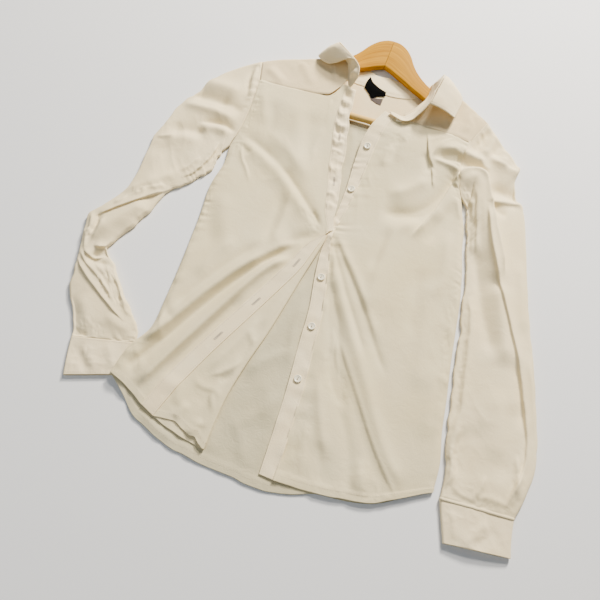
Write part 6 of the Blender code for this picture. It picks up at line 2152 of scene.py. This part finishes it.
for hand in ("right", "left"):
    band = hand + "_placket_band"
    stitch_line(hand + "_placket_stitches", both_faces(band, "first column", STITCH_INSET)
                + both_faces(band, "last column", STITCH_INSET))
hem_paths = []
for name in ("back_panel", "right_front_panel", "left_front_panel"):
    hem_paths += both_faces(name, "last row", HEM_INSET)
stitch_line("hem_stitches", hem_paths)
stitch_line("yoke_stitches", both_faces("yoke_panel", "last row", 2.0))
collar_paths = []
for side in ("last column", "first row", "last row"):
    collar_paths += both_faces("collar_leaf_cloth", side, LEAF_INSET)
collar_paths += both_faces("collar_stand_band", "first column", STAND_INSET)
collar_paths += both_faces("collar_stand_band", "last column", STAND_INSET, end=0.12)
stitch_line("collar_stitches", collar_paths)
for name in ("right_cuff_band", "left_cuff_band"):
    cuff_paths = [inset_path(name, "first row", CUFF_TOP_INSET),
                  inset_path(name, "last row", CUFF_LOW_INSET)]
    stitch_line(name.replace("band", "stitches"), cuff_paths)
for name in ("right_sleeve_cloth", "left_sleeve_cloth"):
    stitch_line(name.replace("cloth", "stitches"), [inset_path(name, "first row", 2.0 + TUCK)])
BLACK_THREAD = thread_finish("Black thread", (0.02, 0.02, 0.02))
label_paths = [inset_path("black_label", side, LABEL_INSET) for side in ("first column", "last column")]
stitch_line("label_stitches", label_paths, length=1.6, gap=0.7, radius=0.14, colour=BLACK_THREAD)

# %% [markdown]
# The buttonholes of the right placket: a satin-stitched ring round a slit, whose dark strip is
# painted shade. They sit at the same spacing as the buttons, counted along the placket from the one
# that is done up.

# %% Buttonholes
HOLE_HALF = 7.6
HOLE_SIDE = 1.15
SATIN_PITCH = 0.55
SLIT_HALF = 0.26
SLIT_RINGS = 13
BUTTONHOLES = ((-35.5, 281), (-23, 202), (-22, 50), (-57, -25), (-91, -92))


def on_band(name, row, column, down, over):
    """Place and outward normal on the visible face, down and over in mm from a grid place."""
    middle, normal, half = GRIDS[name]
    i = int(round(row))
    j = int(round(column))
    row_pitch = np.linalg.norm(middle[i + 1, j] - middle[i - 1, j]) / 2
    column_pitch = np.linalg.norm(middle[i, j + 1] - middle[i, j - 1]) / 2
    u = np.clip(row + down / row_pitch, 0, middle.shape[0] - 1.001)
    v = np.clip(column + over / column_pitch, 0, middle.shape[1] - 1.001)
    a = int(u)
    b = int(v)
    f = u - a
    g = v - b

    def read(grid):
        top = grid[a, b] * (1 - g) + grid[a, b + 1] * g
        low = grid[a + 1, b] * (1 - g) + grid[a + 1, b + 1] * g
        return top * (1 - f) + low * f

    face = 1 if normal[i, j, 2] > 0 else -1
    outward = read(normal) * face
    return read(middle) + outward * read(half), outward


def slot_outline(straight):
    """Places round a slot with round ends, each with its outward direction there."""
    half = 2 * straight + math.pi * HOLE_SIDE
    outline = []
    for run in np.arange(0, 2 * half, SATIN_PITCH / 4):
        way = 1 if run < half else -1
        run = run if run < half else run - half
        angle = max(run - 2 * straight, 0) / HOLE_SIDE
        out_down = math.sin(angle)
        out_over = math.cos(angle)
        down = min(run, 2 * straight) - straight + HOLE_SIDE * out_down
        outline.append((way * down, way * HOLE_SIDE * out_over, way * out_down, way * out_over))
    return outline


def draw_buttonhole(number, x, y):
    """One buttonhole: a ridged ring of thread, and a dark strip of painted shade in its slit."""
    band = "right_placket_band"
    half_way = GRIDS[band][0][:, PLACKET_COLUMNS // 2]
    row = int(np.argmin(np.hypot(half_way[:, 0] - x, half_way[:, 1] - y)))
    column = (PLACKET_COLUMNS - 1) / 2
    straight = HOLE_HALF - HOLE_SIDE
    outline = slot_outline(straight)
    vertices = []
    for k, (down, over, out_down, out_over) in enumerate(outline):
        thread = 1 - 0.22 * (k % 4 == 0)
        for angle in np.radians(np.arange(0, 360, 45)):
            reach = 0.78 * math.cos(angle) * thread
            point, outward = on_band(band, row, column, down + out_down * reach, over + out_over * reach)
            vertices.append(point + outward * (0.08 + 0.34 * math.sin(angle) * thread))
    count = len(outline)
    faces = [(8 * i + j, 8 * ((i + 1) % count) + j, 8 * ((i + 1) % count) + (j + 1) % 8, 8 * i + (j + 1) % 8)
             for i in range(count) for j in range(8)]
    make_mesh(f"buttonhole_{number}_satin", vertices, faces, THREAD_AND_SEAM_SHADE)
    slit = []
    for down in np.linspace(-straight, straight, SLIT_RINGS):
        wide = SLIT_HALF * math.sqrt(max(1 - (down / straight) ** 2, 0)) + 0.05
        for over, lift in ((-wide, 0.0), (0, 0.12), (wide, 0.0), (0, -0.12)):
            point, outward = on_band(band, row, column, down, over)
            slit.append(point + outward * (0.05 + lift))
    faces = [(4 * i + j, 4 * i + (j + 1) % 4, 4 * (i + 1) + (j + 1) % 4, 4 * (i + 1) + j)
             for i in range(SLIT_RINGS - 1) for j in range(4)]
    last = 4 * (SLIT_RINGS - 1)
    faces += [(3, 2, 1, 0), (last, last + 1, last + 2, last + 3)]
    make_mesh(f"buttonhole_{number}_slit", slit, faces, SLIT_PAINTED_SHADE)


for number, (x, y) in enumerate(BUTTONHOLES, 1):
    draw_buttonhole(number, x, y)
print("buttonholes", len(BUTTONHOLES))

# %% [markdown]
# The setting: a pale floor, two warm lights from above the collar, and a weak cool one from the
# front. The main light comes in low enough for the creases to throw soft shade.

# %% Floor, light and camera
WARM = (1, 0.945, 0.86)
COOL = (0.88, 0.94, 1)
FLOOR_Z = -0.0004


def plain_finish(name, colour, roughness):
    """One even colour."""
    return new_finish(name, Base_Color=(*colour, 1), Roughness=roughness, Specular_IOR_Level=0.2)[0]


bpy.ops.mesh.primitive_plane_add(size=8, location=(0, 0, FLOOR_Z))
floor = bpy.context.object
floor.name = "floor"
floor.data.materials.append(plain_finish("Pale floor", (0.80, 0.80, 0.80), 0.8))


def soft_light(name, place, size, power, colour):
    """A round soft light that looks at the middle of the blouse."""
    lamp = bpy.data.lights.new(name, "AREA")
    lamp.shape = "DISK"
    lamp.size = size
    lamp.energy = power
    lamp.color = colour
    made = bpy.data.objects.new(name, lamp)
    bpy.context.collection.objects.link(made)
    made.location = place
    made.rotation_euler = (-Vector(place)).to_track_quat("-Z", "Y").to_euler()


soft_light("key", (0.48, 2.13, 1.34), 0.48, 168, WARM)
soft_light("second key", (0.38, 1.73, 1.86), 0.48, 56, WARM)
soft_light("fill", (-0.9, -0.9, 1.7), 1.6, 11, COOL)
world = bpy.data.worlds.new("Studio")
bpy.context.scene.world = world
world.use_nodes = True
set_inputs(world.node_tree.nodes["Background"], {"Color": (*COOL, 1), "Strength": 0.2})

CAMERA_PLACE = Vector((SHIFT + (123.7, -340.0, 852.4)) * MM)
CAMERA_AIM = Vector(SHIFT * MM)
HALF_VIEW = math.radians(25)
camera_data = bpy.data.cameras.new("photo view")
camera_data.sensor_width = 36
camera_data.lens = 18 / math.tan(HALF_VIEW)
camera = bpy.data.objects.new("photo view", camera_data)
bpy.context.collection.objects.link(camera)
camera.location = CAMERA_PLACE
camera.rotation_euler = (CAMERA_AIM - CAMERA_PLACE).to_track_quat("-Z", "Y").to_euler()
bpy.context.scene.camera = camera
print("camera at", camera.location[:], "lens", round(camera_data.lens, 2))

# %% Triangles in the scene
faces = sum(len(face.vertices) - 2 for thing in bpy.data.objects if thing.type == "MESH"
            for face in thing.data.polygons)
print("triangles in all", faces)
